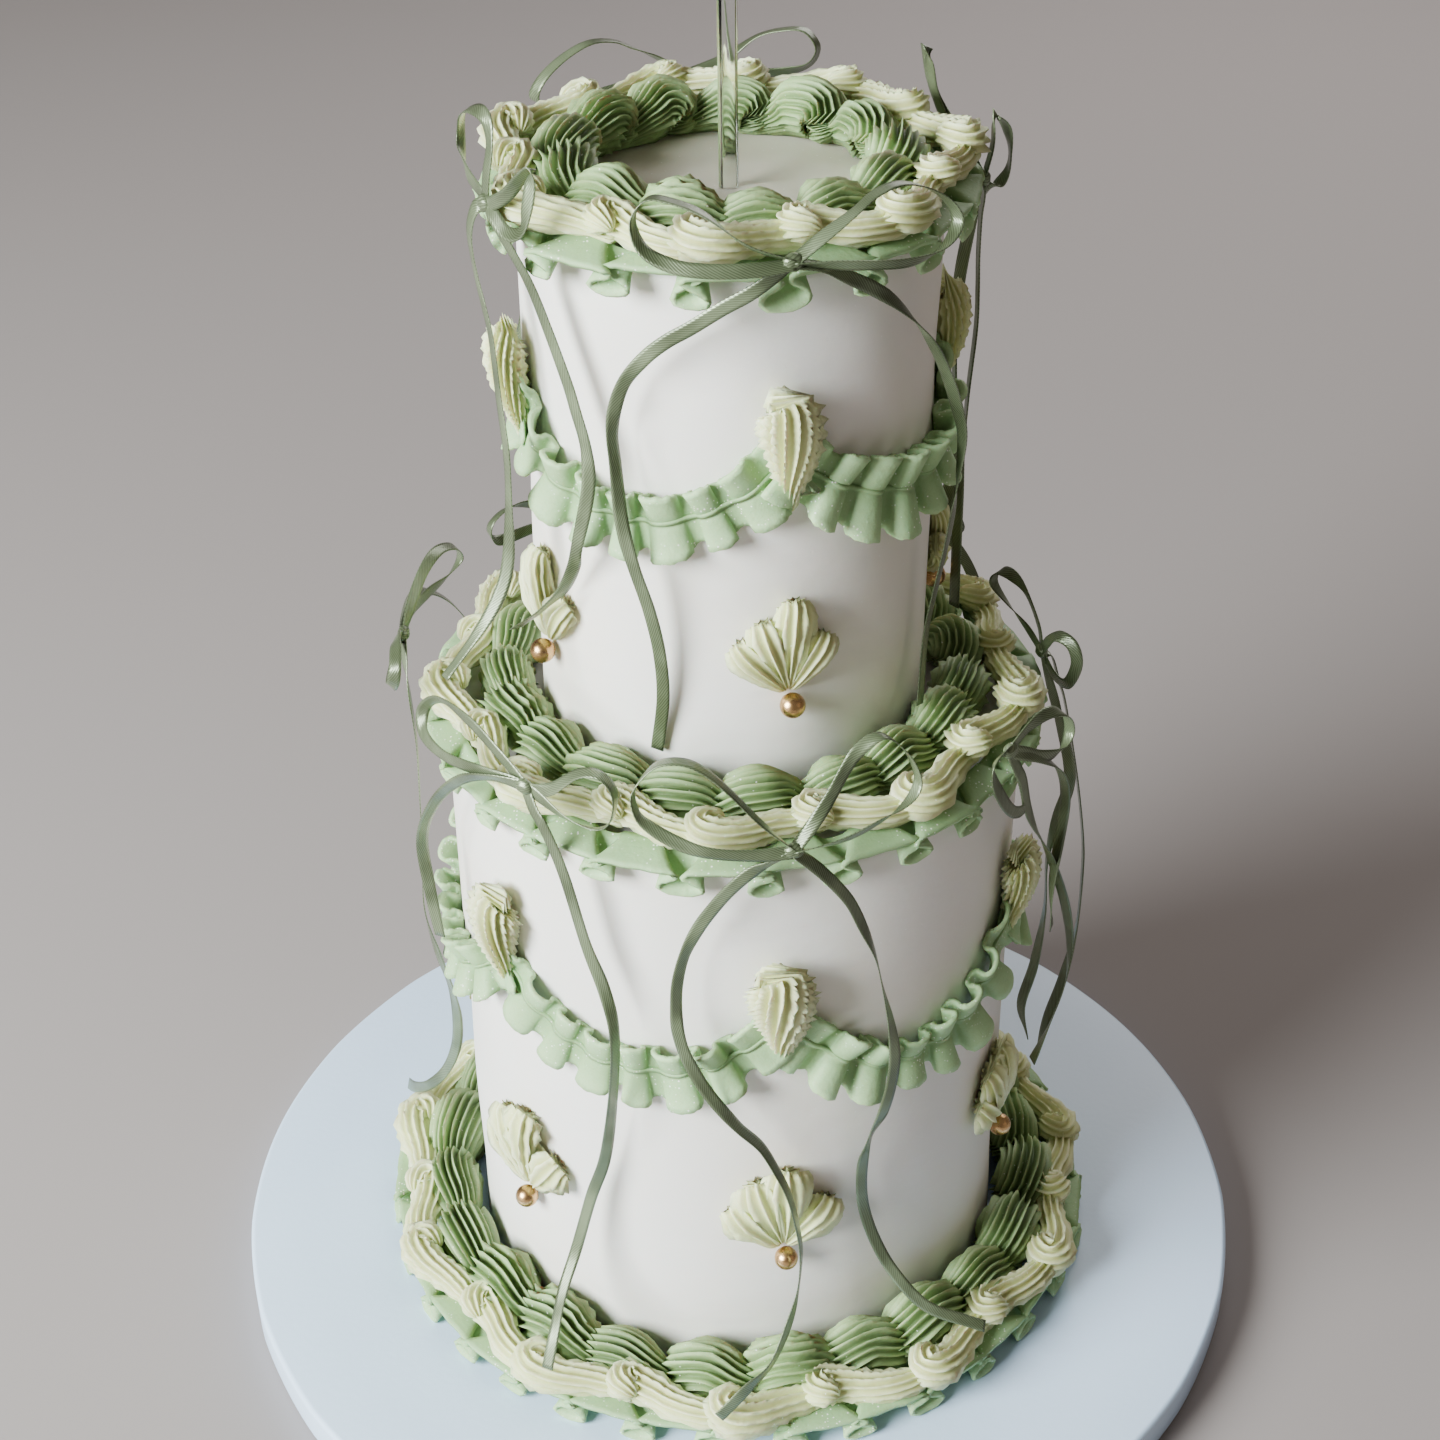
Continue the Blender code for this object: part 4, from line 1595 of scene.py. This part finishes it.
@dataclass
class ClearTopper:
    """The clear stick in the icing, with a bare round plaque."""

    width: float = 0.0042
    depth: float = 0.0030
    turn: float = 24.0
    plaque_radius: float = 0.030
    plaque_height: float = 0.428

    def build(self, finishes: Finishes) -> list[bpy.types.Object]:
        """Makes the topper.

        Args:
            finishes: The cake's finishes.

        Returns:
            The pieces.
        """
        foot = UPPER_TOP - 0.001
        neck = self.plaque_height - math.sqrt(self.plaque_radius**2 - (self.width / 2) ** 2)
        bm = bmesh.new()
        made = bmesh.ops.create_cube(bm, size=1)
        for vert in made["verts"]:
            x, y, z = vert.co
            vert.co = (x * self.width, y * self.depth, foot + (z + 0.5) * (neck - foot))
        self.round_edges(bm)
        disc = bmesh.new()
        bmesh.ops.create_cone(disc, cap_ends=True, segments=160, radius1=self.plaque_radius,
                              radius2=self.plaque_radius, depth=self.depth)
        upright = Matrix.Rotation(math.pi / 2, 3, "X")
        bmesh.ops.rotate(disc, verts=disc.verts, cent=(0, 0, 0), matrix=upright)
        bmesh.ops.translate(disc, verts=disc.verts, vec=(0, 0, self.plaque_height))
        self.round_edges(disc)
        pieces = []
        for name, part in (("topper_stick", bm), ("topper_plaque", disc)):
            spin = Matrix.Rotation(math.radians(self.turn), 3, "Z")
            bmesh.ops.rotate(part, verts=part.verts, cent=(0, 0, 0), matrix=spin)
            mesh = baked(name, part)
            piece = finished(name, mesh, finishes.clear)
            mesh.set_sharp_from_angle(angle=math.radians(35))
            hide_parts("topper")
            pieces.append(piece)
        return pieces

    def round_edges(self, bm: bmesh.types.BMesh) -> None:
        """Breaks the sharp edges slightly.

        Args:
            bm: The bmesh whose edges are bevelled.
        """
        sharp = [edge for edge in bm.edges if edge.calc_face_angle(0) > math.radians(60)]
        bmesh.ops.bevel(bm, geom=sharp, offset=0.0003, offset_type="OFFSET", segments=2,
                        profile=0.5, affect="EDGES", material=-1, clamp_overlap=True)


F, L, S, E = (lay.value for lay in (Lay.FLAT, Lay.LEANING, Lay.STEEP, Lay.ON_EDGE))

TOP_FRONT = BowShape((65.5, 336.8), (
    RibbonRun(((0, 337, 65.5, S), (-9, 341, 65, S), (-17, 347.5, 63.5, E), (-24, 350, 62.5, E),
               (-29, 350, 62.5, E), (-31.5, 345.5, 64, E), (-28.8, 340, 66.5, S),
               (-23, 337.2, 67.6, L),
               (-17, 336.4, 67.8, L), (-8, 336.2, 67.2, L), (0, 336.5, 66, S))),
    RibbonRun(((0, 337, 65.5, S), (6, 342, 65.5, S), (13, 346.2, 64.5, E), (18, 348.8, 63.6, E),
               (24, 349.6, 63.2, E), (30, 347.6, 63.8, E), (35, 344, 65.2, E), (37.6, 340, 66.6, E),
               (37, 336.6, 67.6, E), (32, 333.5, 68.4, S), (25, 332.8, 68.4, L), (17, 334, 68, L),
               (8, 335.6, 67.2, L), (0, 336.5, 66, S))),
    RibbonRun(((0, 336.6, 65.6, L), (-7.7, 330, 64.2, F), (-14, 325.5, 63, F),
               (-20.6, 320.3, 62, F),
               (-26, 316.3, 61.2, F), (-31, 311.5, 60.7, F), (-36.2, 304.5, 60.2, L),
               (-39, 297, 60, L), (-40, 290, 59.8, S), (-39.4, 283, 60, S), (-37.5, 268, 61.4, L),
               (-35.2, 257, 61.2, F), (-32.4, 243.5, 59, F), (-30.9, 230, 56.8, F),
               (-31, 216, 55.2, F),
               (-33.5, 200, 54.2, F))),
    RibbonRun(((0, 336.6, 65.6, S), (6, 334.6, 64.8, S), (11.6, 331, 63.6, L), (18, 326.6, 62.6, F),
               (25, 321, 61.8, L), (32, 314, 61.2, S), (39, 305.4, 60.9, E), (45, 296, 61, E),
               (50.4, 285, 61.7, E), (52.4, 276, 62.8, S), (52.4, 265, 62.2, L),
               (51.9, 255, 61.6, F),
               (51.1, 243.5, 60.2, F), (49.9, 231.5, 58.4, F), (48, 219, 57.2, F),
               (43.4, 201.5, 58.7, F))),
))
TOP_LEFT = BowShape((64.2, 338.8), (
    RibbonRun(((-60.7, 338.7, 64, F), (-64, 341, 64.2, F), (-74, 341.6, 63.8, F),
               (-82, 344, 63.8, L), (-82.5, 350, 63.4, L), (-71, 357.2, 62.8, S),
               (-62, 358.6, 62.4, L), (-59.3, 353.2, 62.8, F), (-59.7, 345.5, 64, F),
               (-60.6, 339.3, 64.2, F))),
    RibbonRun(((-60.5, 339, 64, F), (-56.4, 338.4, 65, L), (-50.9, 335.4, 65.4, L),
               (-46, 337, 65.2, L), (-44.2, 342.8, 64.8, F), (-43.8, 348.3, 63.8, F),
               (-44.4, 351.6, 62.8, S), (-47, 349, 63.4, S), (-51, 344, 64.4, L),
               (-56.3, 340.4, 64.8, F), (-60.6, 339, 64.2, F))),
    RibbonRun(((-60.5, 338.7, 64, F), (-58.2, 338, 64.6, F), (-52.7, 333, 64.6, F),
               (-48.7, 322.6, 61.4, F), (-44.2, 311.8, 60.3, F), (-39.7, 301, 60, F),
               (-37.4, 294.1, 60, F), (-34.1, 284.9, 60.8, F), (-33.7, 274.4, 61.4, L),
               (-37.6, 258.4, 61.4, F), (-41.2, 250.2, 59, L), (-46.3, 241.3, 58.2, S),
               (-51.2, 235, 60, E), (-56.6, 229.2, 61.4, E), (-65.9, 221.1, 61.6, E))),
    RibbonRun(((-61.2, 338.2, 64, F), (-63.5, 336.6, 65.6, F), (-65.4, 330, 66.6, F),
               (-68.6, 318, 64.6, F), (-66.4, 310, 63.8, F), (-64.4, 303, 63.4, F),
               (-61.7, 288.1, 63.6, F), (-58.9, 276.4, 64, F), (-58.2, 262.5, 64.6, F),
               (-57.2, 247.1, 66.4, L), (-57, 237.7, 70, L), (-58, 227.6, 77, F),
               (-57.8, 219, 86, F))),
), -60.7)
TOP_RIGHT = BowShape((63.4, 328.6), (
    RibbonRun(((98, 328, 63.2, F), (97, 336.5, 64.8, F), (96, 342, 64.7, F), (96, 345, 65, L),
               (97, 344, 66.4, L), (98, 340.5, 68.6, L), (99, 334.6, 70, F), (100, 329.5, 70.1, F),
               (100, 326, 68, L), (99, 325.4, 65, L), (98, 327, 63.8, F), (98, 328.2, 63.4, F))),
    RibbonRun(((98, 328, 63.2, F), (108, 330.6, 63.6, F), (118, 335, 62.8, F),
               (121.6, 342.5, 61, F),
               (121.8, 350, 59.2, F), (122.4, 354, 58.8, S), (124.6, 352, 60.2, F),
               (124, 345, 61.6, F), (121, 338.6, 62.8, F), (110, 331.6, 63.4, F),
               (98, 328.4, 63.4, F))),
    RibbonRun(((98, 327.6, 63.4, F), (98, 324.2, 63.6, F), (99, 318.6, 63.4, F),
               (100, 308.3, 63.6, F), (100.2, 298.4, 64, F), (100, 287.8, 64, F),
               (99, 270, 62.4, F), (98, 255, 61.6, F), (97.6, 240, 61, L), (98, 222, 61.2, L),
               (99, 206, 61.6, L))),
    RibbonRun(((98, 327.6, 63.4, F), (103, 322, 64, F), (108, 310, 64, L), (111, 295, 63.6, L),
               (110, 278, 62.6, F), (106, 262, 61.6, F), (105, 246, 61, L), (109, 230, 61.6, S),
               (115, 214, 61.4, S))),
), 98.0)
MIDDLE_FRONT = BowShape((91.5, 196.8), (
    RibbonRun(((0, 197, 91.5, S), (-5, 204.5, 89.5, E), (-9.6, 212, 87.5, E), (-13.5, 216.8, 86, E),
               (-17, 218.8, 85.2, E), (-21, 218, 85.4, E), (-23.6, 214.5, 86.8, E),
               (-25, 210, 88.4, E), (-24, 205.5, 90.2, E), (-21.6, 202.8, 91.2, S),
               (-17.9, 200, 91.9, L), (-13.6, 197.8, 92.3, F), (-7, 196.7, 92.2, F),
               (0, 196.6, 91.8, L))),
    RibbonRun(((0, 197, 91.5, S), (3, 203, 90.4, L), (6, 209.5, 89.2, F), (8.8, 216.6, 88.2, F),
               (11.2, 221, 87.8, L), (15, 223.2, 87.8, E), (18.8, 217.5, 88.8, E),
               (20.4, 210.8, 90.6, E), (19.6, 206.8, 91.6, E), (17, 203.8, 92.2, S),
               (13.6, 201.8, 92.4, L), (7.6, 198.8, 92.7, L), (0, 196.6, 91.8, S))),
    RibbonRun(((0, 196.4, 91.6, L), (-3.8, 193, 90.8, L), (-6.6, 190, 90.2, F),
               (-9.4, 185, 89.4, F),
               (-12, 179, 88.4, F), (-15, 171, 87.8, F), (-17.4, 162, 87.6, L),
               (-18.7, 153, 87.8, L),
               (-19, 144, 88.2, L), (-18.6, 137, 89, F), (-17.4, 130, 89.4, F), (-15, 121, 89.2, L),
               (-12, 113, 89.2, L), (-8.6, 104, 87.6, S), (-4.7, 95, 85.5, S), (-2, 87, 87, S),
               (0, 79, 88.5, S), (1.4, 68, 89.5, S), (2, 58, 90.2, S), (1.4, 47, 91.5, S),
               (-0.6, 37, 95, L), (-4, 28, 101, L), (-8, 24, 106, F), (-12, 18, 110.5, F))),
    RibbonRun(((0, 196.4, 91.6, S), (3, 191.5, 90.8, L), (6, 185.5, 90.2, L), (9.5, 177, 89.2, L),
               (12, 168, 88.6, L), (14.6, 157, 88.6, S), (16.2, 145, 88.8, S), (17.8, 133, 89.2, L),
               (18.6, 122, 89.6, F), (18.4, 112, 89.2, F), (17, 101.5, 88.6, F), (15.9, 90, 85, L),
               (15.4, 80, 83, F), (15.3, 70, 83, F), (16, 61, 83.6, F), (17.6, 51, 86, F),
               (20, 41, 90, F), (24, 30, 96.5, F), (29, 24, 102.5, L), (32, 21, 107, L))),
))
MIDDLE_FRONT_LEFT = BowShape((86.8, 202.0), (
    RibbonRun(((-36.9, 202, 86.4, F), (-42.8, 207, 85.8, F), (-51, 211, 85.4, F),
               (-60.4, 210.3, 86, L), (-66, 203.8, 87.8, S), (-64.2, 198.4, 89.5, L),
               (-56.1, 198.5, 89.6, F), (-47.1, 201, 88.6, F), (-40.4, 202.4, 87.6, F),
               (-36.9, 202, 86.6, F))),
    RibbonRun(((-36.7, 201.8, 86.4, F), (-34, 202.6, 86.8, F), (-30.7, 205.1, 87.2, L),
               (-25.6, 211.9, 87.2, S), (-21.5, 212.9, 87.4, E), (-19.2, 208.5, 87.8, E),
               (-19.9, 200.9, 88.4, E), (-22.9, 197.5, 88.4, S), (-28.4, 198.1, 87.9, L),
               (-34, 201, 87, F), (-36.7, 201.8, 86.6, F))),
    RibbonRun(((-36.7, 201.5, 86.6, F), (-34.5, 197, 88, F), (-31.9, 192.3, 88.7, F),
               (-29.3, 179, 87.4, F), (-26.1, 158.8, 86.8, F), (-22.9, 145.7, 87.2, L),
               (-20.7, 133.1, 89.2, S), (-22, 109.4, 87.8, S), (-25, 84.3, 85.2, L),
               (-28.2, 67.7, 86, F), (-30.3, 49.8, 90, F), (-30.5, 40, 97, F),
               (-29.1, 32.7, 106, F),
               (-28.7, 24, 111.6, F))),
    RibbonRun(((-36.7, 202.2, 86.8, F), (-43.3, 201.2, 88.6, L), (-50.8, 195.3, 89.6, L),
               (-59.5, 181, 90.6, S), (-66.4, 162.4, 91.6, E), (-66.9, 145.1, 90.6, S),
               (-66, 129, 89.4, L))),
), -36.8)
MIDDLE_FRONT_RIGHT = BowShape((87.4, 199.4), (
    RibbonRun(((53.7, 199.2, 87.2, F), (50.6, 201.4, 88, L), (47.2, 199.5, 88.8, L),
               (48.1, 191.8, 90.4, F), (52.2, 183, 90.6, F), (56.8, 180.4, 90.2, F),
               (56, 189.3, 89.2, F), (53.7, 198.6, 87.6, F))),
    RibbonRun(((53.7, 199.2, 87.2, F), (58, 203, 88.6, F), (63, 204, 91, L), (67, 200.4, 93.5, S),
               (68.5, 194, 94.5, S), (66, 190, 93.6, L), (61, 192.5, 91.2, F), (56.5, 197, 88.8, F),
               (53.7, 199.2, 87.4, F))),
    RibbonRun(((53.7, 198.8, 87.4, F), (55, 193, 88.8, F), (56.4, 188.1, 89.6, F),
               (58, 177.9, 90.4, F), (62.6, 166, 91, L), (70, 149.6, 92, S), (77, 126, 95.6, S),
               (79, 110, 97.6, L), (77, 98, 97.4, F), (75, 84, 94, F), (75, 70, 90, L))),
    RibbonRun(((53.7, 198.8, 87.4, F), (60, 193, 91, L), (66, 184, 93.6, S), (70, 171, 94.4, S),
               (71, 156, 93.4, S), (69.4, 141, 92.8, L), (70.4, 126, 93.4, F))),
), 53.7)
MIDDLE_RIGHT = BowShape((87.0, 190.0), (
    RibbonRun(((98, 190, 86.8, F), (102, 194, 84.4, F), (106, 199, 80.6, L), (109, 204.4, 77.6, S),
               (108, 208.6, 78.4, S), (105, 209.1, 80.6, L), (102, 205.5, 83.4, F),
               (99, 197, 86.2, F), (98, 190.3, 87, F))),
    RibbonRun(((98, 190, 86.8, F), (94, 196.6, 87.2, F), (92, 200, 89.2, L), (90, 198.9, 92.6, S),
               (89, 193.7, 94, S), (90, 186.6, 92, L), (94, 185.6, 89.4, F), (98, 189.5, 87.2, F))),
    RibbonRun(((98, 189.4, 87, F), (98, 188, 90, F), (97, 180.4, 92.2, F), (96, 173.4, 94.2, F),
               (95, 150.7, 98.6, F), (94, 131.3, 101.4, F), (93, 119, 102, F), (91, 100, 101, F),
               (89, 83.5, 97.6, L), (87, 70, 93.4, L), (85, 58, 91, F))),
    RibbonRun(((98, 189.4, 87, F), (96, 178.5, 90, L), (94, 170.4, 92, L), (92, 157.9, 95, S),
               (92, 149, 95.4, S), (93, 136.5, 93, L), (95, 120.2, 92, F), (96, 100.6, 93, F),
               (96, 79.6, 91, L), (96, 64, 88, L), (97, 50, 91, F))),
), 98.0)
MIDDLE_SIDE = BowShape((91.5, 199.0), (
    RibbonRun(((0, 199, 91.5, F), (-5, 205, 90.6, L), (-11, 210, 90, L), (-17, 211, 90, S),
               (-23, 207, 91, S), (-25.5, 201, 92.5, S), (-22, 197, 93.5, L), (-15, 198, 93, F),
               (-7, 199.4, 92.4, F), (0, 199, 91.8, F))),
    RibbonRun(((0, 199, 91.5, F), (6, 204, 91, L), (11, 208.4, 90.6, L), (15.5, 209.4, 90.8, S),
               (19, 206.6, 91.6, S), (19, 202, 92.5, S), (16, 198.4, 93.2, L), (9, 198, 92.8, F),
               (0, 198.6, 91.8, F))),
    RibbonRun(((0, 198.6, 91.6, L), (3, 194, 90.8, L), (6, 187, 89.6, F), (9, 172, 88.2, F),
               (12.5, 156, 88.4, F), (14, 140, 89, F), (15.2, 122, 90, F), (14.4, 104, 87.4, L),
               (12.5, 88, 84.6, L), (9, 72, 84, S), (5, 56, 86, S), (2, 42, 91, L), (-1, 31, 98, L),
               (-5, 23, 105, F), (-9, 17, 110.5, F))),
    RibbonRun(((0, 198.6, 91.6, L), (-6, 199, 93.5, L), (-13, 198, 96, L), (-20, 193, 98, S),
               (-26, 184, 98, S), (-30, 172, 96.5, S), (-32, 158, 94.5, L), (-32.5, 147, 93.5, F))),
))


@dataclass(frozen=True)
class Lamp:
    """A soft round light, with its place, the point that it aims at and its width in metres."""

    name: str
    place: tuple[float, float, float]
    aim: tuple[float, float, float]
    width: float
    power: float
    tint: tuple[float, float, float]

    def hang(self) -> None:
        """Adds the light to the scene."""
        light = bpy.data.lights.new(self.name, "AREA")
        light.shape = "DISK"
        light.size = self.width
        light.energy = self.power
        light.color = self.tint
        lamp = bpy.data.objects.new(self.name, light)
        lamp.location = self.place
        aim = Vector(self.aim) - Vector(self.place)
        lamp.rotation_euler = aim.to_track_quat("-Z", "Y").to_euler()
        bpy.context.scene.collection.objects.link(lamp)


@dataclass(frozen=True)
class Studio:
    """The pale floor, the large soft key from the upper left, the weak fills and the camera."""

    eye: tuple[float, float, float] = (0.0, -0.5520, 0.5486)
    pitch: float = 33.18
    yaw: float = -0.39
    roll: float = -0.74
    lens: float = 59.23
    sensor: float = 36.0
    room_tint: tuple[float, float, float, float] = (1.0, 0.87, 0.76, 1.0)
    room_strength: float = 0.17
    floor_size: float = 6.0
    floor_tone: tuple[float, float, float, float] = (0.31, 0.28, 0.275, 1.0)
    floor_roughness: float = 0.85
    lamps: tuple[Lamp, ...] = (
        Lamp("key", place=(-1.38, -0.92, 0.88), aim=(0, 0, 0.22), width=1.1, power=128.0,
             tint=(0.95, 1.0, 0.99)),
        Lamp("fill", place=(1.3, -0.8, 0.7), aim=(0, 0, 0.2), width=1.2, power=0.8,
             tint=(1.0, 0.84, 0.70)),
        Lamp("back", place=(0.6, 1.4, 1.0), aim=(0, 0, 0.25), width=1.2, power=12.0,
             tint=(1.0, 0.97, 0.95)),
    )

    def build(self) -> None:
        """Sets up the studio."""
        self.floor()
        self.lights()
        self.camera()

    def floor(self) -> None:
        """Makes the floor with its plain pale finish."""
        bm = bmesh.new()
        bmesh.ops.create_grid(bm, x_segments=4, y_segments=4, size=self.floor_size)
        mesh = baked("floor", bm)
        p = Palette("pale_floor")
        p.set(Base_Color=self.floor_tone, Roughness=self.floor_roughness)
        finished("floor", mesh, p.material)

    def lights(self) -> None:
        """Lights the room weakly and hangs the lamps."""
        world = bpy.data.worlds.new("soft_room")
        world.use_nodes = True
        room = world.node_tree.nodes["Background"]
        room.inputs["Color"].default_value = self.room_tint
        room.inputs["Strength"].default_value = self.room_strength
        bpy.context.scene.world = world
        for lamp in self.lamps:
            lamp.hang()

    def camera(self) -> None:
        """Places the camera at the photograph's viewing angle."""
        pitch, yaw, roll = (math.radians(a) for a in (self.pitch, self.yaw, self.roll))
        ahead = Vector((math.sin(yaw) * math.cos(pitch), math.cos(yaw) * math.cos(pitch),
                        -math.sin(pitch)))
        right = ahead.cross(Vector((0, 0, 1))).normalized()
        up = right.cross(ahead)
        side = right * math.cos(roll) + up * math.sin(roll)
        top = -right * math.sin(roll) + up * math.cos(roll)
        turn = Matrix((side, top, -ahead)).transposed()
        data = bpy.data.cameras.new("camera")
        data.lens = self.lens
        data.sensor_width = self.sensor
        data.clip_start = 0.01
        data.clip_end = 50
        eye = bpy.data.objects.new("camera", data)
        eye.matrix_world = Matrix.Translation(self.eye) @ turn.to_4x4()
        bpy.context.scene.collection.objects.link(eye)
        bpy.context.scene.camera = eye


def borders() -> list[object]:
    """The scallops, garlands and ruffles on the three ledges, in building order.

    Returns:
        The sub-assemblies.
    """
    tube = RolledWave(swing=138.0, loop=0.50, neck=0.70)
    return [
        ScallopBorder("top", radius=0.0415, surface=UPPER_TOP, count=13, width=18.5, height=15.5,
                      start=4.0, seed=11, lean=0.12),
        ScallopBorder("middle", radius=0.0620, surface=LOWER_TOP, count=19, width=19.0,
                      height=18.0, start=2.0, seed=12),
        ScallopBorder("base", radius=0.0893, surface=BOARD_TOP, count=24, width=20.0,
                      height=23.5, start=5.0, seed=13),
        CurlGarland("top", radius=0.0542, surface=UPPER_TOP, lift=7.4, curls=14, tube=4.7,
                    start=-6.0, seed=21),
        CurlGarland("middle", radius=0.0756, surface=LOWER_TOP, lift=8.0, curls=18, tube=5.1,
                    start=-3.0, seed=22),
        CurlGarland("base", radius=0.1003, surface=BOARD_TOP, lift=9.8, curls=22, tube=6.2,
                    start=-1.0, seed=23),
        UnderRuffle("top", radius=0.0525, surface=UPPER_TOP, root_height=4.8,
                    frill=Frill(waves=18, reach=10.2, lift=8.2, wave=tube, pinch=0.4,
                                tongue=0.16, uneven=0.34),
                    droop=20.0, start=2.0, seed=31),
        UnderRuffle("middle", radius=0.0762, surface=LOWER_TOP, root_height=5.0,
                    frill=Frill(waves=26, reach=10.8, lift=8.0, wave=tube, pinch=0.4,
                                tongue=0.16),
                    droop=20.0, start=-2.0, seed=32),
        UnderRuffle("base", radius=0.0980, surface=BOARD_TOP, root_height=7.6,
                    frill=Frill(waves=32, reach=10.4, lift=6.2, wave=tube, pinch=0.4,
                                tongue=0.14),
                    droop=4.0, start=2.0, seed=33),
    ]


def wall_piping() -> list[object]:
    """The swags, drops, fans and pearls on both walls, in building order.

    Returns:
        The sub-assemblies.
    """
    upper_joints = (-73.0, 15.0, 101.0, 192.0)
    lower_joints = (-111.5, -50.0, 8.5, 69.5, 128.5, 188.5)
    puff = RolledWave(swing=102.0, loop=0.60, neck=1.0)
    return [
        RuffledSwag("upper", radius=UPPER_RADIUS, joints=upper_joints, top=0.2950,
                    drops=(0.0175, 0.0165, 0.0175, 0.0170),
                    lobes=Frill(waves=32, reach=8.4, lift=6.0, wave=puff, pinch=0.66,
                                uneven=0.42, rows=6),
                    skirt=Frill(waves=32, reach=10.6, lift=5.6, wave=puff, pinch=0.66, lip=1.3,
                                uneven=0.42),
                    seed=41),
        RuffledSwag("lower", radius=LOWER_RADIUS, joints=lower_joints, top=0.1460,
                    drops=(0.0195, 0.0185, 0.0230, 0.0205, 0.0210, 0.0200),
                    lobes=Frill(waves=46, reach=8.2, lift=6.0, wave=puff, pinch=0.66,
                                uneven=0.42, rows=6),
                    skirt=Frill(waves=46, reach=10.8, lift=5.6, wave=puff, pinch=0.66, lip=1.3,
                                uneven=0.42),
                    seed=43),
        WallDrops("upper", radius=UPPER_RADIUS, azimuths=upper_joints,
                  tops=(0.3125, 0.3110, 0.3115, 0.3125), length=31.0, width=18.0, height=10.5,
                  seed=51),
        WallDrops("lower", radius=LOWER_RADIUS, azimuths=lower_joints,
                  tops=(0.1650, 0.1690, 0.1640, 0.1650, 0.1660, 0.1650), length=33.0,
                  width=20.5, height=11.5, seed=52),
        PearlFans("upper", radius=UPPER_RADIUS, azimuths=(-62.0, 15.0, 101.0, 192.0),
                  foot=0.2295, length=26.5, width=13.0, height=7.0, seed=61),
        PearlFans("lower", radius=LOWER_RADIUS,
                  azimuths=(-111.5, -47.0, 9.0, 69.5, 128.5, 188.5), foot=0.0645, length=30.0,
                  width=18.0, height=8.0, seed=62),
    ]


def bows() -> list[SatinBow]:
    """The satin bows, each with the azimuth of its knot.

    Returns:
        The bows, in building order.
    """
    return [
        SatinBow("bow_top_front", TOP_FRONT, 12.4),
        SatinBow("bow_top_left", TOP_LEFT, -60.7),
        SatinBow("bow_top_right", TOP_RIGHT, 98.0),
        SatinBow("bow_top_back", TOP_FRONT, 190.0),
        SatinBow("bow_middle_front", MIDDLE_FRONT, 9.0),
        SatinBow("bow_middle_front_left", MIDDLE_FRONT_LEFT, -36.8),
        SatinBow("bow_middle_front_right", MIDDLE_FRONT_RIGHT, 53.7),
        SatinBow("bow_middle_right", MIDDLE_RIGHT, 98.0),
        SatinBow("bow_middle_back_right", MIDDLE_SIDE, 159.0),
        SatinBow("bow_middle_back_left", MIDDLE_SIDE, 211.0),
        SatinBow("bow_middle_left", MIDDLE_SIDE, 264.0),
    ]


def assemblies() -> list[object]:
    """Every sub-assembly of the cake, in building order.

    Returns:
        The sub-assemblies.
    """
    return [
        Board(),
        Tier("lower_tier_icing", "lower_tier", LOWER_RADIUS, bottom=BOARD_TOP, top=LOWER_TOP,
             seed=3),
        Tier("upper_tier_icing", "upper_tier", UPPER_RADIUS, bottom=LOWER_TOP, top=UPPER_TOP,
             seed=4),
        *borders(),
        *wall_piping(),
        *bows(),
        ClearTopper(),
    ]


def main() -> None:
    """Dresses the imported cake, places the camera and reports the pieces."""
    logging.basicConfig(level=logging.INFO, format="%(message)s")
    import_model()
    Studio().build()
    finishes = Finishes.mixed()
    total = 0
    for assembly in assemblies():
        for piece in assembly.build(finishes):
            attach(piece, "root")
            size = sum(len(face.vertices) - 2 for face in piece.data.polygons)
            total += size
            log.info("%s: %d triangles", piece.name, size)
    log.info("all pieces: %d triangles", total)
    for blank in [mesh for mesh in bpy.data.meshes if mesh.name.startswith(BLANK_PREFIX)]:
        bpy.data.meshes.remove(blank)


if __name__ == "__main__":
    main()
